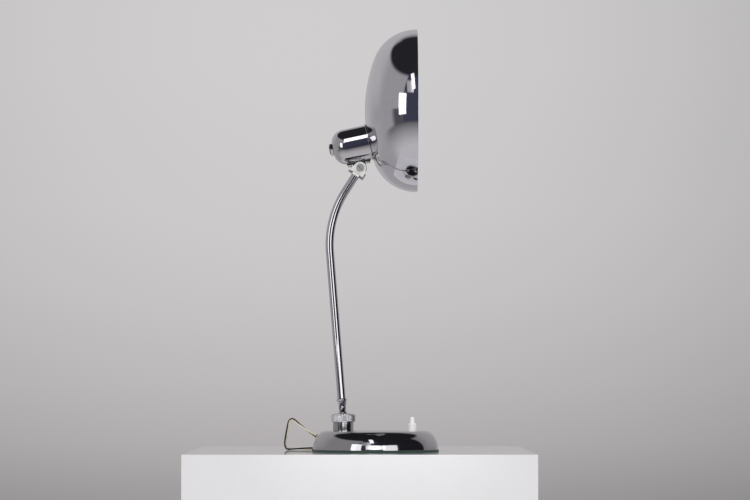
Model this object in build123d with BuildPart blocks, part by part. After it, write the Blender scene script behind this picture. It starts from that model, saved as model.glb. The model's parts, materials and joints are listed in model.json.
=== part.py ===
# Chromed desk lamp: round weighted foot, ball joint, bent tube arm, tilting head and dished shade
#
# Millimetres, +Z up. The origin is on the table, on the axis of the round foot. The lamp looks
# along +X. The ball joint stands at the back of the foot, on the -X side, and every other piece
# of the arm and head is placed from it, along the arm and then along the head.

import os
from math import acos, asin, atan2, cos, degrees, dist, pi, radians, sin, sqrt, tan

from build123d import *

os.makedirs("parts", exist_ok=True)

# Clearances
fit_gap = 0.05  # radial gap of a shaft, screw or spigot in its hole
face_gap = 0.05  # gap between faces that turn or slide on each other
loose_gap = 0.3  # gap where a piece only has to pass

# Foot
base_radius = 75.4
base_height = 24.8
base_edge_run = 16.6  # how far in from the rim the flat top starts
shell_wall = 1.2
felt_thickness = 2.5
felt_overhang = 0.5
plate_thickness = 1.5
plate_screw_circle_radius = 52.0
plate_screw_count = 3
plate_screw_angle = 90.0
plate_screw_radius = 2.0
plate_screw_head_radius = 3.4
plate_screw_length = 9.0
ballast_inset = 11.4  # from the shell's rim to the ballast's edge
ballast_thickness = 15.0
ballast_edge = 2.0
ballast_boss_radius = 17.0

# Ball joint column and its nuts
column_offset = 38.5  # from the foot's axis to the column's
column_radius = 12.4
column_collar_height = 10.3  # plain part that shows between the foot and the clamp nut
column_thread_radius = 12.0
column_thread_length = 7.8
column_shank_radius = 8.0
column_bore_radius = 4.6
lock_nut_width = 24.0
lock_nut_thickness = 5.0
lock_nut_pocket_radius = 14.6
lock_nut_pocket_depth = 7.0
ball_radius = 10.0
ball_height = 38.4  # height of the ball's centre over the table
seat_height = 7.0
seat_lift = 1.5  # from the column's collar base to the floor of its cup
clamp_nut_radius = 14.5
clamp_nut_height = 10.2
clamp_nut_chamfer_run = 3.5
clamp_nut_chamfer_rise = 1.2
clamp_nut_opening_radius = 7.15
knurl_count = 48
knurl_depth = 0.5
knurl_margin = 0.9

# Arm
arm_lean = 4.58  # degrees from upright, away from the shade
arm_lower_run = 240.6  # from the ball's centre to the corner of the bend
arm_bend_radius = 119.0
arm_upper_angle = 32.63  # degrees from upright, towards the shade
arm_upper_run = 73.0  # from the corner of the bend to the tilt screw
tube_radius = 5.0
tube_wall = 1.0
stem_neck_radius = 4.15
stem_top_radius = 5.3
stem_flat = 9.05  # from the ball's centre to the flat on top of it
stem_taper_end = 21.4
stem_bead_radius = 6.5
stem_bead_height = 3.8
stem_spigot_length = 12.0
stem_tail = 4.0  # how far the stem reaches past the ball's centre
wire_bore_radius = 2.6
ball_flare_radius = 7.0
ball_flare_depth = 4.5

# Fork and tilt lug
flange_radius = 10.4
flange_thickness = 2.2
fork_floor = 8.5  # from the tilt screw down to the flange
fork_half_width = 8.6
fork_tip_radius = 7.5
fork_shoulder_drop = 3.0  # the shield on the shade side ends this far under the screw
fork_half_depth = 5.9
fork_slot_half = 4.3
fork_spigot_length = 12.0
washer_thickness = 0.5
washer_radius = 6.2
pivot_radius = 2.5
pivot_head_radius = 4.55
pivot_head_height = 2.6
pivot_slot_width = 1.2
pivot_slot_depth = 1.1
pivot_nut_width = 9.0
pivot_nut_thickness = 4.0
spring_washer_thickness = 1.1
pivot_end = 0.8
lug_radius = 8.0
lug_foot_length = 29.2
lug_screw_spread = 22.8
lug_screw_radius = 1.5
lug_screw_head_radius = 2.25
lug_screw_head_height = 2.5
lug_foot_thickness = 1.4

# Head
pivot_drop = 28.6  # from the housing's axis to the tilt screw
pivot_setback = 16.2  # from the shade's crown back to the tilt screw, along the housing
housing_radius = 21.0
housing_wall = 0.9
housing_length = 44.6
housing_round = 15.4
housing_rim_radius = 22.3
housing_rim_thickness = 1.1
nipple_radius = 5.0
nipple_bore_radius = 3.6
nipple_length = 18.5
nipple_end = 1.0
nipple_nut_width = 14.0
nipple_nut_thickness = 3.2
holder_radius = 17.0
holder_skirt_radius = 19.3
holder_skirt_start = 1.6
holder_skirt_length = 9.6
holder_length = 43.0
holder_socket_radius = 14.6
holder_socket_depth = 25.5
thread_shell_radius = 14.0
thread_shell_wall = 0.45
thread_shell_length = 19.0
contact_radius = 4.5
contact_thickness = 1.2
strip_thickness = 1.4
strip_width = 7.4
strip_length = 28.0
shade_ring_radius = 26.0
shade_ring_height = 5.0
shade_ring_margin = 0.2  # from the ring's rim to the line where the shade's shoulder starts

# Bulb
bulb_cap_radius = 13.1
bulb_cap_wall = 0.5
bulb_cap_length = 23.0
bulb_tip_radius = 4.6
bulb_tip_length = 3.4
bulb_length = 72.0
bulb_radius = 22.5
bulb_glass_wall = 0.9
bulb_neck_insert = 6.0

# Shade
crown_radius = 178.0
shoulder_radius = 53.5
shade_radius = 97.6
shade_straight = 1.4
shade_wall = 1.0

# Switch
switch_inset = 31.2  # from the foot's rim to the switch's axis
switch_sleeve_radius = 4.85
switch_sleeve_height = 8.8
switch_sleeve_edge = 0.6
switch_body_radius = 11.0
switch_body_depth = 11.0
switch_flange_radius = 14.0
plunger_radius = 2.5
plunger_height = 7.6  # above the sleeve, at rest
plunger_collar_radius = 3.9
plunger_collar_height = 1.6
plunger_travel = 3.0
switch_chamber_radius = 4.2
switch_chamber_floor = 3.0

# Cord
cord_radius = 1.9
cord_exit_azimuth = 155.0
cord_exit_height = 14.6
cord_inner_run = 12.0
bush_body_radius = 3.4
bush_flange_radius = 5.0
bush_flange_thickness = 1.2
bush_nose_radius = 2.9
bush_nose_length = 6.5
bush_inner_start = 1.9
bush_inner_thickness = 1.4
bush_inner_radius = 4.4
cord_channel_width = 9.0
cord_channel_floor = 1.5
cord_channel_run = 26.0
wire_channel_depth = 7.0
clamp_block_length = 6.0
clamp_block_height = 8.5
clamp_block_start = 6.5
coil_radius = 28.5  # centre line of the outermost turn
coil_pitch = 5.2
coil_layer_height = 4.5
coil_half_turns = (5, 5, 5, 4)  # in, out, in and out again, one layer each
coil_centre = (-40.0, 109.0)

# Plug
plug_heading = 48.0
plug_length = 34.0
plug_half_width = 13.0
plug_waist_half_width = 6.5
plug_half_thickness = 6.8
plug_edge = 2.0
plug_relief_length = 12.0
plug_relief_radius = 4.6
plug_pin_spacing = 19.0
plug_pin_radius = 2.0
plug_pin_length = 19.0
plug_pin_groove = 0.4  # from the plug's face to the pin's full width
plug_shank_radius = 1.5
plug_shank_length = 6.0


def save(piece, name):
    """Label a finished piece and write its file."""
    piece.part.label = name
    export_step(piece.part, f"parts/{name}.step")


def turning_plane(origin, direction):
    """A plane through an axis that lies in XZ: local x is the radius, local y runs along it."""
    return Plane(origin=origin, x_dir=(direction.Z, 0, -direction.X), z_dir=(0, -1, 0))


def square_plane(origin, direction):
    """A plane square to a direction in XZ, with local x along Y."""
    return Plane(origin=origin, x_dir=(0, 1, 0), z_dir=direction)


# Places that the sizes above lead to
up = Vector(0, 0, 1)
front = Vector(1, 0, 0)
side = Vector(0, 1, 0)
origin = Vector(0, 0, 0)

shell_bottom = felt_thickness
ballast_radius = base_radius - ballast_inset
switch_offset = base_radius - switch_inset
plate_top = felt_thickness + plate_thickness
ballast_top = plate_top + ballast_thickness
shell_ceiling = base_height - shell_wall

column_foot = Vector(-column_offset, 0, 0)
collar_top = base_height + column_collar_height
thread_top = collar_top + column_thread_length
cup_floor = base_height + seat_lift
cup_radius = ball_radius + loose_gap
lock_nut_seat = plate_top + lock_nut_pocket_depth
shank_bottom = lock_nut_seat - lock_nut_thickness - 1.0
clamp_nut_bottom = collar_top + loose_gap
clamp_nut_top = clamp_nut_bottom + clamp_nut_height
clamp_web_bottom = thread_top + loose_gap

ball_centre = Vector(-column_offset, 0, ball_height)
lower_direction = Vector(-sin(radians(arm_lean)), 0, cos(radians(arm_lean)))
bend_corner = ball_centre + lower_direction * arm_lower_run
upper_direction = Vector(sin(radians(arm_upper_angle)), 0, cos(radians(arm_upper_angle)))
pivot = bend_corner + upper_direction * arm_upper_run
tube_foot = stem_taper_end + stem_bead_height
tube_bore_radius = tube_radius - tube_wall
tube_top = fork_floor + flange_thickness

shoulder_start = asin((shade_radius - shoulder_radius) / (crown_radius - shoulder_radius))
ring_reach = asin((shade_ring_radius + shade_ring_margin) / (crown_radius - shade_wall))
head_pitch = shoulder_start - ring_reach
head_direction = Vector(cos(head_pitch), 0, sin(head_pitch))
head_up = Vector(-sin(head_pitch), 0, cos(head_pitch))
crown_point = pivot + head_up * pivot_drop + head_direction * pivot_setback
crown_centre = crown_point + head_direction * crown_radius
crown_apex = crown_centre - front * crown_radius
shade_run = crown_radius - shoulder_radius
shade_depth = shade_straight + crown_radius - sqrt(shade_run**2 - (shade_radius - shoulder_radius) ** 2)


def crown_sag(radius, wall=0.0):
    """How far the crown falls away from its tangent plane, at a radius from the housing's axis."""
    return crown_radius - sqrt((crown_radius - wall) ** 2 - radius**2)


housing_bore = housing_radius - housing_wall
rim_face = crown_sag(housing_bore) - face_gap
housing_end = rim_face - housing_length
nipple_hole_radius = nipple_radius + fit_gap
skirt_hole_radius = holder_skirt_radius + loose_gap
skirt_end = holder_skirt_length
holder_back = skirt_end - holder_length
socket_floor = skirt_end - holder_socket_depth
bulb_foot = socket_floor + contact_thickness + face_gap
cap_foot = bulb_foot + bulb_tip_length
cap_top = cap_foot + bulb_cap_length
lug_foot_face = housing_radius + lug_foot_thickness

# Felt, bottom plate and its screws

with BuildPart() as felt_pad:
    with BuildSketch(Plane.XY):
        Circle(base_radius + felt_overhang)
    extrude(amount=felt_thickness)
save(felt_pad, "felt_pad")

plate_underside = Plane(origin=(0, 0, felt_thickness), x_dir=(1, 0, 0), z_dir=(0, 0, -1))

with BuildPart() as bottom_plate:
    with BuildSketch(Plane.XY.offset(felt_thickness)):
        Circle(base_radius - shell_wall - loose_gap)
    extrude(amount=plate_thickness)
    with Locations(plate_underside):
        with PolarLocations(plate_screw_circle_radius, plate_screw_count, -plate_screw_angle):
            CounterSinkHole(
                radius=plate_screw_radius + fit_gap,
                counter_sink_radius=plate_screw_head_radius,
                counter_sink_angle=90,
            )
save(bottom_plate, "bottom_plate")

plate_screw_cone = plate_screw_head_radius - plate_screw_radius

with BuildPart() as bottom_screws:
    with Locations((0, 0, felt_thickness)):
        with PolarLocations(plate_screw_circle_radius, plate_screw_count, plate_screw_angle):
            Cone(
                bottom_radius=plate_screw_head_radius - fit_gap,
                top_radius=plate_screw_radius - fit_gap,
                height=plate_screw_cone,
                align=(Align.CENTER, Align.CENTER, Align.MIN),
            )
            Cylinder(
                radius=plate_screw_radius - fit_gap,
                height=plate_screw_length,
                align=(Align.CENTER, Align.CENTER, Align.MIN),
            )
save(bottom_screws, "bottom_screws")

# Cast ballast: a disc with a boss under the column, room for the switch, and channels for the wires

cord_heading = Vector(cos(radians(cord_exit_azimuth)), sin(radians(cord_exit_azimuth)), 0)
cord_side = Vector(-cord_heading.Y, cord_heading.X, 0)

with BuildPart() as ballast:
    with BuildSketch(Plane.XY.offset(plate_top)):
        Circle(ballast_radius)
    extrude(amount=ballast_thickness)
    chamfer(ballast.edges().filter_by(GeomType.CIRCLE).sort_by(Axis.Z)[-1], length=ballast_edge)
    with BuildSketch(Plane.XY.offset(plate_top)):
        with Locations((-column_offset, 0)):
            Circle(ballast_boss_radius)
    extrude(amount=shell_ceiling - plate_top)
    with BuildSketch(Plane.XY.offset(plate_top)):
        with Locations((-column_offset, 0)):
            Circle(column_shank_radius + loose_gap)
        with Locations((switch_offset, 0)):
            Circle(switch_body_radius + loose_gap)
    extrude(amount=base_height, mode=Mode.SUBTRACT)
    with BuildSketch(Plane.XY.offset(plate_top)):
        with Locations((-column_offset, 0)):
            Circle(lock_nut_pocket_radius)
    extrude(amount=lock_nut_pocket_depth, mode=Mode.SUBTRACT)
    with BuildSketch(Plane.XY.offset(plate_top)):
        with PolarLocations(plate_screw_circle_radius, plate_screw_count, plate_screw_angle):
            Circle(plate_screw_radius)
    extrude(amount=plate_screw_length, mode=Mode.SUBTRACT)
    with BuildSketch(Plane.XY.offset(ballast_top - wire_channel_depth)):
        with Locations(((switch_offset - column_offset) / 2, 0)):
            Rectangle(switch_offset + column_offset, cord_channel_width)
    extrude(amount=base_height, mode=Mode.SUBTRACT)
    channel_floor = plate_top + cord_channel_floor
    channel_inner = cord_heading * (ballast_radius - cord_channel_run) + up * channel_floor
    with BuildSketch(Plane(origin=channel_inner, x_dir=cord_heading, z_dir=up)):
        Rectangle(2 * cord_channel_run, cord_channel_width, align=(Align.MIN, Align.CENTER))
    extrude(amount=base_height, mode=Mode.SUBTRACT)
save(ballast, "ballast")

# Chromed shell of the foot

edge_rise = base_height - shell_bottom
edge_centre = (base_radius - base_edge_run, shell_bottom)
exit_radius = edge_centre[0] + base_edge_run * sqrt(
    1 - ((cord_exit_height - shell_bottom) / edge_rise) ** 2
)
exit_slope_out = (exit_radius - edge_centre[0]) / base_edge_run**2
exit_slope_up = (cord_exit_height - shell_bottom) / edge_rise**2
cord_exit_pitch = atan2(exit_slope_up, exit_slope_out)
cord_exit = cord_heading * exit_radius + up * cord_exit_height
cord_out = cord_heading * cos(cord_exit_pitch) + up * sin(cord_exit_pitch)

with BuildPart() as base_shell:
    with BuildSketch(Plane.XZ):
        with BuildLine():
            outer = EllipticalCenterArc(edge_centre, base_edge_run, edge_rise, arc_size=90)
            inner = EllipticalCenterArc(
                edge_centre, base_edge_run - shell_wall, edge_rise - shell_wall, arc_size=90
            )
            Line(outer @ 1, (0, base_height))
            Line((0, base_height), (0, shell_ceiling))
            Line((0, shell_ceiling), inner @ 1)
            Line(inner @ 0, outer @ 0)
        make_face()
    revolve(axis=Axis.Z)
    with BuildSketch(Plane.XY.offset(base_height)):
        with Locations((-column_offset, 0)):
            Circle(column_shank_radius + fit_gap)
        with Locations((switch_offset, 0)):
            Circle(switch_sleeve_radius + fit_gap)
    extrude(amount=-2 * shell_wall, mode=Mode.SUBTRACT)
    with BuildSketch(Plane(origin=cord_exit, z_dir=cord_out)):
        Circle(bush_body_radius + fit_gap)
    extrude(amount=4 * shell_wall, both=True, mode=Mode.SUBTRACT)
save(base_shell, "base_shell")

# Column of the ball joint: a collar on the foot, a threaded cup above and a threaded shank below

with BuildPart() as column:
    with BuildSketch(turning_plane(column_foot, up)):
        Polygon(
            (column_bore_radius, shank_bottom),
            (column_shank_radius, shank_bottom),
            (column_shank_radius, base_height),
            (column_radius, base_height),
            (column_radius, collar_top),
            (column_thread_radius, collar_top),
            (column_thread_radius, thread_top),
            (cup_radius, thread_top),
            (cup_radius, cup_floor),
            (column_bore_radius, cup_floor),
            align=None,
        )
    revolve(axis=Axis(column_foot, up))
save(column, "column")

with BuildPart() as lock_nut:
    with BuildSketch(Plane(origin=column_foot + up * (lock_nut_seat - lock_nut_thickness))):
        RegularPolygon(radius=lock_nut_width / 2, side_count=6, major_radius=False)
        Circle(column_shank_radius + fit_gap, mode=Mode.SUBTRACT)
    extrude(amount=lock_nut_thickness)
save(lock_nut, "lock_nut")

# Seat cup under the ball, which turns with it

seat_floor = cup_floor + face_gap
seat_radius = cup_radius - fit_gap
socket_radius = ball_radius + fit_gap

with BuildPart() as seat_cup:
    with BuildSketch(turning_plane(column_foot, up)):
        Polygon(
            (column_bore_radius, seat_floor),
            (seat_radius, seat_floor),
            (seat_radius, seat_floor + seat_height),
            (column_bore_radius, seat_floor + seat_height),
            align=None,
        )
        with Locations((0, ball_height)):
            Circle(socket_radius, mode=Mode.SUBTRACT)
    revolve(axis=Axis(column_foot, up))
save(seat_cup, "seat_cup")

# Knurled clamp nut that closes over the ball

with BuildPart() as clamp_nut:
    with BuildSketch(turning_plane(column_foot, up)):
        Polygon(
            (column_thread_radius + fit_gap, clamp_nut_bottom),
            (clamp_nut_radius, clamp_nut_bottom),
            (clamp_nut_radius, clamp_nut_top - clamp_nut_chamfer_rise),
            (clamp_nut_radius - clamp_nut_chamfer_run, clamp_nut_top),
            (clamp_nut_opening_radius, clamp_nut_top),
            (clamp_nut_opening_radius, clamp_web_bottom),
            (column_thread_radius + fit_gap, clamp_web_bottom),
            align=None,
        )
        with Locations((0, ball_height)):
            Circle(socket_radius, mode=Mode.SUBTRACT)
    revolve(axis=Axis(column_foot, up))
    with BuildSketch(Plane(origin=column_foot + up * (clamp_nut_bottom + knurl_margin))):
        with PolarLocations(clamp_nut_radius - knurl_depth, knurl_count):
            Polygon((0, 0), (2 * knurl_depth, -knurl_depth), (2 * knurl_depth, knurl_depth), align=None)
    extrude(
        amount=clamp_nut_height - clamp_nut_chamfer_rise - 2 * knurl_margin,
        mode=Mode.SUBTRACT,
    )
save(clamp_nut, "clamp_nut")

# Ball, bored for the stem and flared below for the wires

with BuildPart() as ball:
    with BuildSketch(turning_plane(ball_centre, lower_direction)):
        Circle(ball_radius)
        Rectangle(2 * ball_radius, 4 * ball_radius, align=(Align.MAX, Align.CENTER), mode=Mode.SUBTRACT)
        Polygon(
            (0, -2 * ball_radius),
            (ball_flare_radius, -ball_radius),
            (tube_bore_radius, -ball_radius + ball_flare_depth),
            (tube_bore_radius, 2 * ball_radius),
            (0, 2 * ball_radius),
            align=None,
            mode=Mode.SUBTRACT,
        )
        with Locations((0, stem_flat - face_gap)):
            Rectangle(
                2 * ball_radius,
                ball_radius,
                align=(Align.MIN, Align.MIN),
                mode=Mode.SUBTRACT,
            )
    revolve(axis=Axis(ball_centre, lower_direction))
save(ball, "ball")

# Stem: plugs into the ball and the tube, with a tapered neck and a bead under the tube

spigot_radius = tube_bore_radius - fit_gap

with BuildPart() as ball_stem:
    with BuildSketch(turning_plane(ball_centre, lower_direction)):
        with BuildLine():
            Polyline(
                (stem_top_radius, stem_taper_end),
                (stem_neck_radius, stem_flat),
                (spigot_radius, stem_flat),
                (spigot_radius, -stem_tail),
                (wire_bore_radius, -stem_tail),
                (wire_bore_radius, tube_foot + stem_spigot_length),
                (spigot_radius, tube_foot + stem_spigot_length),
                (spigot_radius, tube_foot),
                (stem_top_radius, tube_foot),
            )
            ThreePointArc(
                (stem_top_radius, tube_foot),
                (stem_bead_radius, (stem_taper_end + tube_foot) / 2),
                (stem_top_radius, stem_taper_end),
            )
        make_face()
    revolve(axis=Axis(ball_centre, lower_direction))
save(ball_stem, "ball_stem")

# Bent arm tube

with BuildPart() as arm_tube:
    with BuildLine() as arm_line:
        FilletPolyline(
            ball_centre + lower_direction * tube_foot,
            bend_corner,
            pivot - upper_direction * tube_top,
            radius=arm_bend_radius,
        )
    with BuildSketch(square_plane(arm_line.line @ 0, lower_direction)):
        Circle(tube_radius)
        Circle(tube_bore_radius, mode=Mode.SUBTRACT)
    sweep(path=arm_line.line)
save(arm_tube, "arm_tube")

# Fork on the arm: a round flange, two cheeks and a shield that closes the side towards the shade

fork_front = turning_plane(pivot, upper_direction)
fork_foot = pivot - upper_direction * tube_top
tip_rise = 1.2
tip_side = sqrt(fork_tip_radius**2 - tip_rise**2)

with BuildPart() as fork:
    with BuildSketch(square_plane(fork_foot, upper_direction)):
        Circle(flange_radius)
    extrude(amount=tube_top + fork_tip_radius)
    with BuildSketch(fork_front):
        Polygon(
            (-flange_radius, -tube_top),
            (flange_radius, -tube_top),
            (flange_radius, -fork_shoulder_drop),
            (fork_half_width, -fork_shoulder_drop),
            (tip_side, tip_rise),
            (-tip_side, tip_rise),
            (-fork_half_width, -fork_shoulder_drop),
            (-fork_half_width, -fork_floor),
            (-flange_radius, -fork_floor),
            align=None,
        )
        Circle(fork_tip_radius)
    extrude(amount=flange_radius, both=True, mode=Mode.INTERSECT)
    with BuildSketch(square_plane(pivot - upper_direction * fork_floor, upper_direction)):
        with Locations((fork_half_depth, 0)):
            Rectangle(flange_radius, 2 * flange_radius, align=(Align.MIN, Align.CENTER))
        with Locations((-fork_half_depth, 0)):
            Rectangle(flange_radius, 2 * flange_radius, align=(Align.MAX, Align.CENTER))
        with Locations((0, -fork_half_width)):
            Rectangle(2 * fork_slot_half, 2 * flange_radius, align=(Align.CENTER, Align.MIN))
    extrude(amount=2 * flange_radius, mode=Mode.SUBTRACT)
    with BuildSketch(square_plane(fork_foot, upper_direction)):
        Circle(spigot_radius)
    extrude(amount=-fork_spigot_length)
    with BuildSketch(square_plane(fork_foot, upper_direction)):
        Circle(wire_bore_radius)
    extrude(amount=2 * fork_spigot_length, both=True, mode=Mode.SUBTRACT)
    with BuildSketch(Plane(origin=pivot, z_dir=side)):
        Circle(pivot_radius + fit_gap)
    extrude(amount=flange_radius, both=True, mode=Mode.SUBTRACT)
save(fork, "fork")

# Friction washers, tilt screw, spring washer and nut

with BuildPart() as friction_washers:
    with BuildSketch(
        Plane(origin=pivot + side * fork_slot_half, z_dir=-side),
        Plane(origin=pivot - side * fork_slot_half, z_dir=side),
    ):
        Circle(washer_radius)
        Circle(pivot_radius + fit_gap, mode=Mode.SUBTRACT)
    extrude(amount=washer_thickness)
save(friction_washers, "friction_washers")

nut_seat = fork_half_depth + spring_washer_thickness
screw_end = nut_seat + pivot_nut_thickness + pivot_end

with BuildPart() as tilt_screw:
    with BuildSketch(Plane(origin=pivot - side * fork_half_depth, z_dir=side)):
        Circle(pivot_radius)
    extrude(amount=fork_half_depth + screw_end)
    with BuildSketch(Plane(origin=pivot - side * fork_half_depth, z_dir=-side)):
        Circle(pivot_head_radius)
    extrude(amount=pivot_head_height)
    head_face = tilt_screw.faces().sort_by(Axis.Y)[0]
    fillet(head_face.edges(), radius=pivot_head_height / 4)
    with BuildSketch(Plane(origin=pivot - side * (fork_half_depth + pivot_head_height), z_dir=side)):
        Rectangle(pivot_slot_width, 3 * pivot_head_radius, rotation=45)
    extrude(amount=pivot_slot_depth, mode=Mode.SUBTRACT)
save(tilt_screw, "tilt_screw")

with BuildPart() as spring_washer:
    with BuildSketch(Plane(origin=pivot + side * fork_half_depth, z_dir=side)):
        Circle(pivot_nut_width / 2)
        Circle(pivot_radius + fit_gap, mode=Mode.SUBTRACT)
    extrude(amount=spring_washer_thickness)
save(spring_washer, "spring_washer")

with BuildPart() as tilt_nut:
    with BuildSketch(Plane(origin=pivot + side * nut_seat, z_dir=side)):
        RegularPolygon(radius=pivot_nut_width / 2, side_count=6, major_radius=False)
        Circle(pivot_radius + fit_gap, mode=Mode.SUBTRACT)
    extrude(amount=pivot_nut_thickness)
save(tilt_nut, "tilt_nut")

# Tilt lug under the housing: a round tongue between the cheeks and a foot with two screws

lug_half_depth = fork_slot_half - washer_thickness - face_gap
head_front = Plane(origin=pivot, x_dir=head_direction, z_dir=(0, -1, 0))
head_axis = Axis(crown_point, head_direction)
lug_foot_drop = pivot_drop - lug_foot_face
lug_screw_places = [
    pivot + head_up * lug_foot_drop + head_direction * run
    for run in (-lug_screw_spread / 2, lug_screw_spread / 2)
]

with BuildPart() as tilt_lug:
    with BuildSketch(head_front):
        Circle(lug_radius)
        Rectangle(2 * lug_radius, pivot_drop - housing_bore, align=(Align.CENTER, Align.MIN))
        with Locations((0, lug_foot_drop)):
            Rectangle(
                lug_foot_length,
                housing_radius - housing_bore + 2 * lug_foot_thickness,
                align=(Align.CENTER, Align.MIN),
            )
        Circle(pivot_radius + fit_gap, mode=Mode.SUBTRACT)
    extrude(amount=lug_half_depth, both=True)
    with BuildSketch(square_plane(crown_point, head_direction)):
        Circle(housing_radius)
    extrude(amount=2 * pivot_setback + 2 * lug_foot_length, both=True, mode=Mode.SUBTRACT)
    with BuildSketch(*[square_plane(place, head_up) for place in lug_screw_places]):
        Circle(lug_screw_radius + fit_gap)
    extrude(amount=housing_radius, mode=Mode.SUBTRACT)
save(tilt_lug, "tilt_lug")

screw_reach = lug_foot_face - housing_bore + strip_thickness + fit_gap

with BuildPart() as lug_screws:
    with BuildSketch(*[square_plane(place, head_up) for place in lug_screw_places]):
        Circle(lug_screw_radius)
    extrude(amount=screw_reach)
    with BuildSketch(*[square_plane(place, -head_up) for place in lug_screw_places]):
        Circle(lug_screw_head_radius)
    extrude(amount=lug_screw_head_height)
save(lug_screws, "lug_screws")

with BuildPart() as backing_strip:
    strip_middle = crown_point - head_direction * pivot_setback
    with BuildSketch(square_plane(strip_middle - head_direction * strip_length / 2, head_direction)):
        Circle(housing_bore - loose_gap)
        Circle(housing_bore - strip_thickness, mode=Mode.SUBTRACT)
        with Locations((0, -housing_radius)):
            Rectangle(strip_width, housing_radius, mode=Mode.INTERSECT)
    extrude(amount=strip_length)
    with BuildSketch(*[square_plane(place, head_up) for place in lug_screw_places]):
        Circle(lug_screw_radius + fit_gap)
    extrude(amount=housing_radius, mode=Mode.SUBTRACT)
save(backing_strip, "backing_strip")

# Chromed housing of the lamp holder

head_section = turning_plane(crown_point, head_direction)

with BuildPart() as housing:
    with BuildSketch(head_section):
        with BuildLine():
            rounding = (housing_radius - housing_round, housing_end + housing_round)
            outer_round = CenterArc(rounding, housing_round, -90, 90)
            inner_round = CenterArc(rounding, housing_round - housing_wall, -90, 90)
            Polyline(
                outer_round @ 1,
                (housing_radius, rim_face - housing_rim_thickness),
                (housing_rim_radius, rim_face - housing_rim_thickness),
                (housing_rim_radius, rim_face),
                (housing_bore, rim_face),
                inner_round @ 1,
            )
            Polyline(
                outer_round @ 0,
                (nipple_hole_radius, housing_end),
                (nipple_hole_radius, housing_end + housing_wall),
                inner_round @ 0,
            )
        make_face()
    revolve(axis=head_axis)
    with BuildSketch(*[square_plane(place, head_up) for place in lug_screw_places]):
        Circle(lug_screw_radius + fit_gap)
    extrude(amount=housing_radius / 2, mode=Mode.SUBTRACT)
save(housing, "housing")

# Nipple through the back of the housing, with its two nuts

with BuildPart() as nipple:
    nipple_start = housing_end - nipple_nut_thickness - nipple_end
    with BuildSketch(square_plane(crown_point + head_direction * nipple_start, head_direction)):
        Circle(nipple_radius)
        Circle(nipple_bore_radius, mode=Mode.SUBTRACT)
    extrude(amount=nipple_length)
save(nipple, "nipple")

with BuildPart() as nipple_nut:
    with BuildSketch(square_plane(crown_point + head_direction * housing_end, head_direction)):
        RegularPolygon(radius=nipple_nut_width / 2, side_count=6, major_radius=False)
        Circle(nipple_radius + fit_gap, mode=Mode.SUBTRACT)
    extrude(amount=-nipple_nut_thickness)
save(nipple_nut, "nipple_nut")

with BuildPart() as inner_nut:
    inner_nut_seat = housing_end + housing_wall + loose_gap
    with BuildSketch(square_plane(crown_point + head_direction * inner_nut_seat, head_direction)):
        RegularPolygon(radius=nipple_nut_width / 2, side_count=6, major_radius=False)
        Circle(nipple_radius + fit_gap, mode=Mode.SUBTRACT)
    extrude(amount=nipple_nut_thickness)
save(inner_nut, "inner_nut")

# Porcelain lamp holder, its threaded shell and its centre contact

with BuildPart() as holder_body:
    with BuildSketch(head_section):
        Polygon(
            (0, nipple_start + nipple_length),
            (nipple_radius + fit_gap, nipple_start + nipple_length),
            (nipple_radius + fit_gap, holder_back),
            (holder_radius, holder_back),
            (holder_radius, -holder_skirt_start),
            (holder_skirt_radius, -holder_skirt_start),
            (holder_skirt_radius, skirt_end),
            (holder_socket_radius, skirt_end),
            (holder_socket_radius, socket_floor),
            (0, socket_floor),
            align=None,
        )
    revolve(axis=head_axis)
save(holder_body, "holder_body")

with BuildPart() as thread_shell:
    with BuildSketch(square_plane(crown_point + head_direction * socket_floor, head_direction)):
        Circle(thread_shell_radius)
        Circle(thread_shell_radius - thread_shell_wall, mode=Mode.SUBTRACT)
    extrude(amount=thread_shell_length)
save(thread_shell, "thread_shell")

with BuildPart() as centre_contact:
    with BuildSketch(square_plane(crown_point + head_direction * socket_floor, head_direction)):
        Circle(contact_radius)
    extrude(amount=contact_thickness)
save(centre_contact, "centre_contact")

# Ring that screws on the holder's skirt and clamps the shade against the housing

with BuildPart() as shade_ring:
    ring_bore = holder_skirt_radius + fit_gap
    with BuildSketch(head_section):
        Polygon(
            (ring_bore, crown_sag(ring_bore, shade_wall) + face_gap),
            (shade_ring_radius, crown_sag(shade_ring_radius, shade_wall) + face_gap),
            (shade_ring_radius, shade_ring_height),
            (shade_ring_radius - shade_ring_height / 4, shade_ring_height * 5 / 4),
            (ring_bore, shade_ring_height * 5 / 4),
            align=None,
        )
    revolve(axis=head_axis)
save(shade_ring, "shade_ring")

# Bulb: screw cap with its tip, and a round glass

with BuildPart() as bulb_cap:
    with BuildSketch(head_section):
        Polygon(
            (0, bulb_foot),
            (bulb_tip_radius, bulb_foot),
            (bulb_cap_radius - bulb_cap_wall, cap_foot),
            (bulb_cap_radius, cap_foot + bulb_cap_wall),
            (bulb_cap_radius, cap_top),
            (bulb_cap_radius - bulb_cap_wall, cap_top),
            (bulb_cap_radius - bulb_cap_wall, cap_foot + bulb_cap_wall),
            (0, cap_foot + bulb_cap_wall),
            align=None,
        )
    revolve(axis=head_axis)
save(bulb_cap, "bulb_cap")

glass_centre = bulb_foot + bulb_length - bulb_radius
neck_drop = glass_centre - cap_top
neck_radius = bulb_cap_radius - bulb_cap_wall - fit_gap


def neck_angle(radius, neck):
    """Angle on the bulb's round part where a straight neck leaves it, in degrees."""
    return degrees(acos(radius / sqrt(neck**2 + neck_drop**2)) - atan2(neck_drop, neck))


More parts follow.
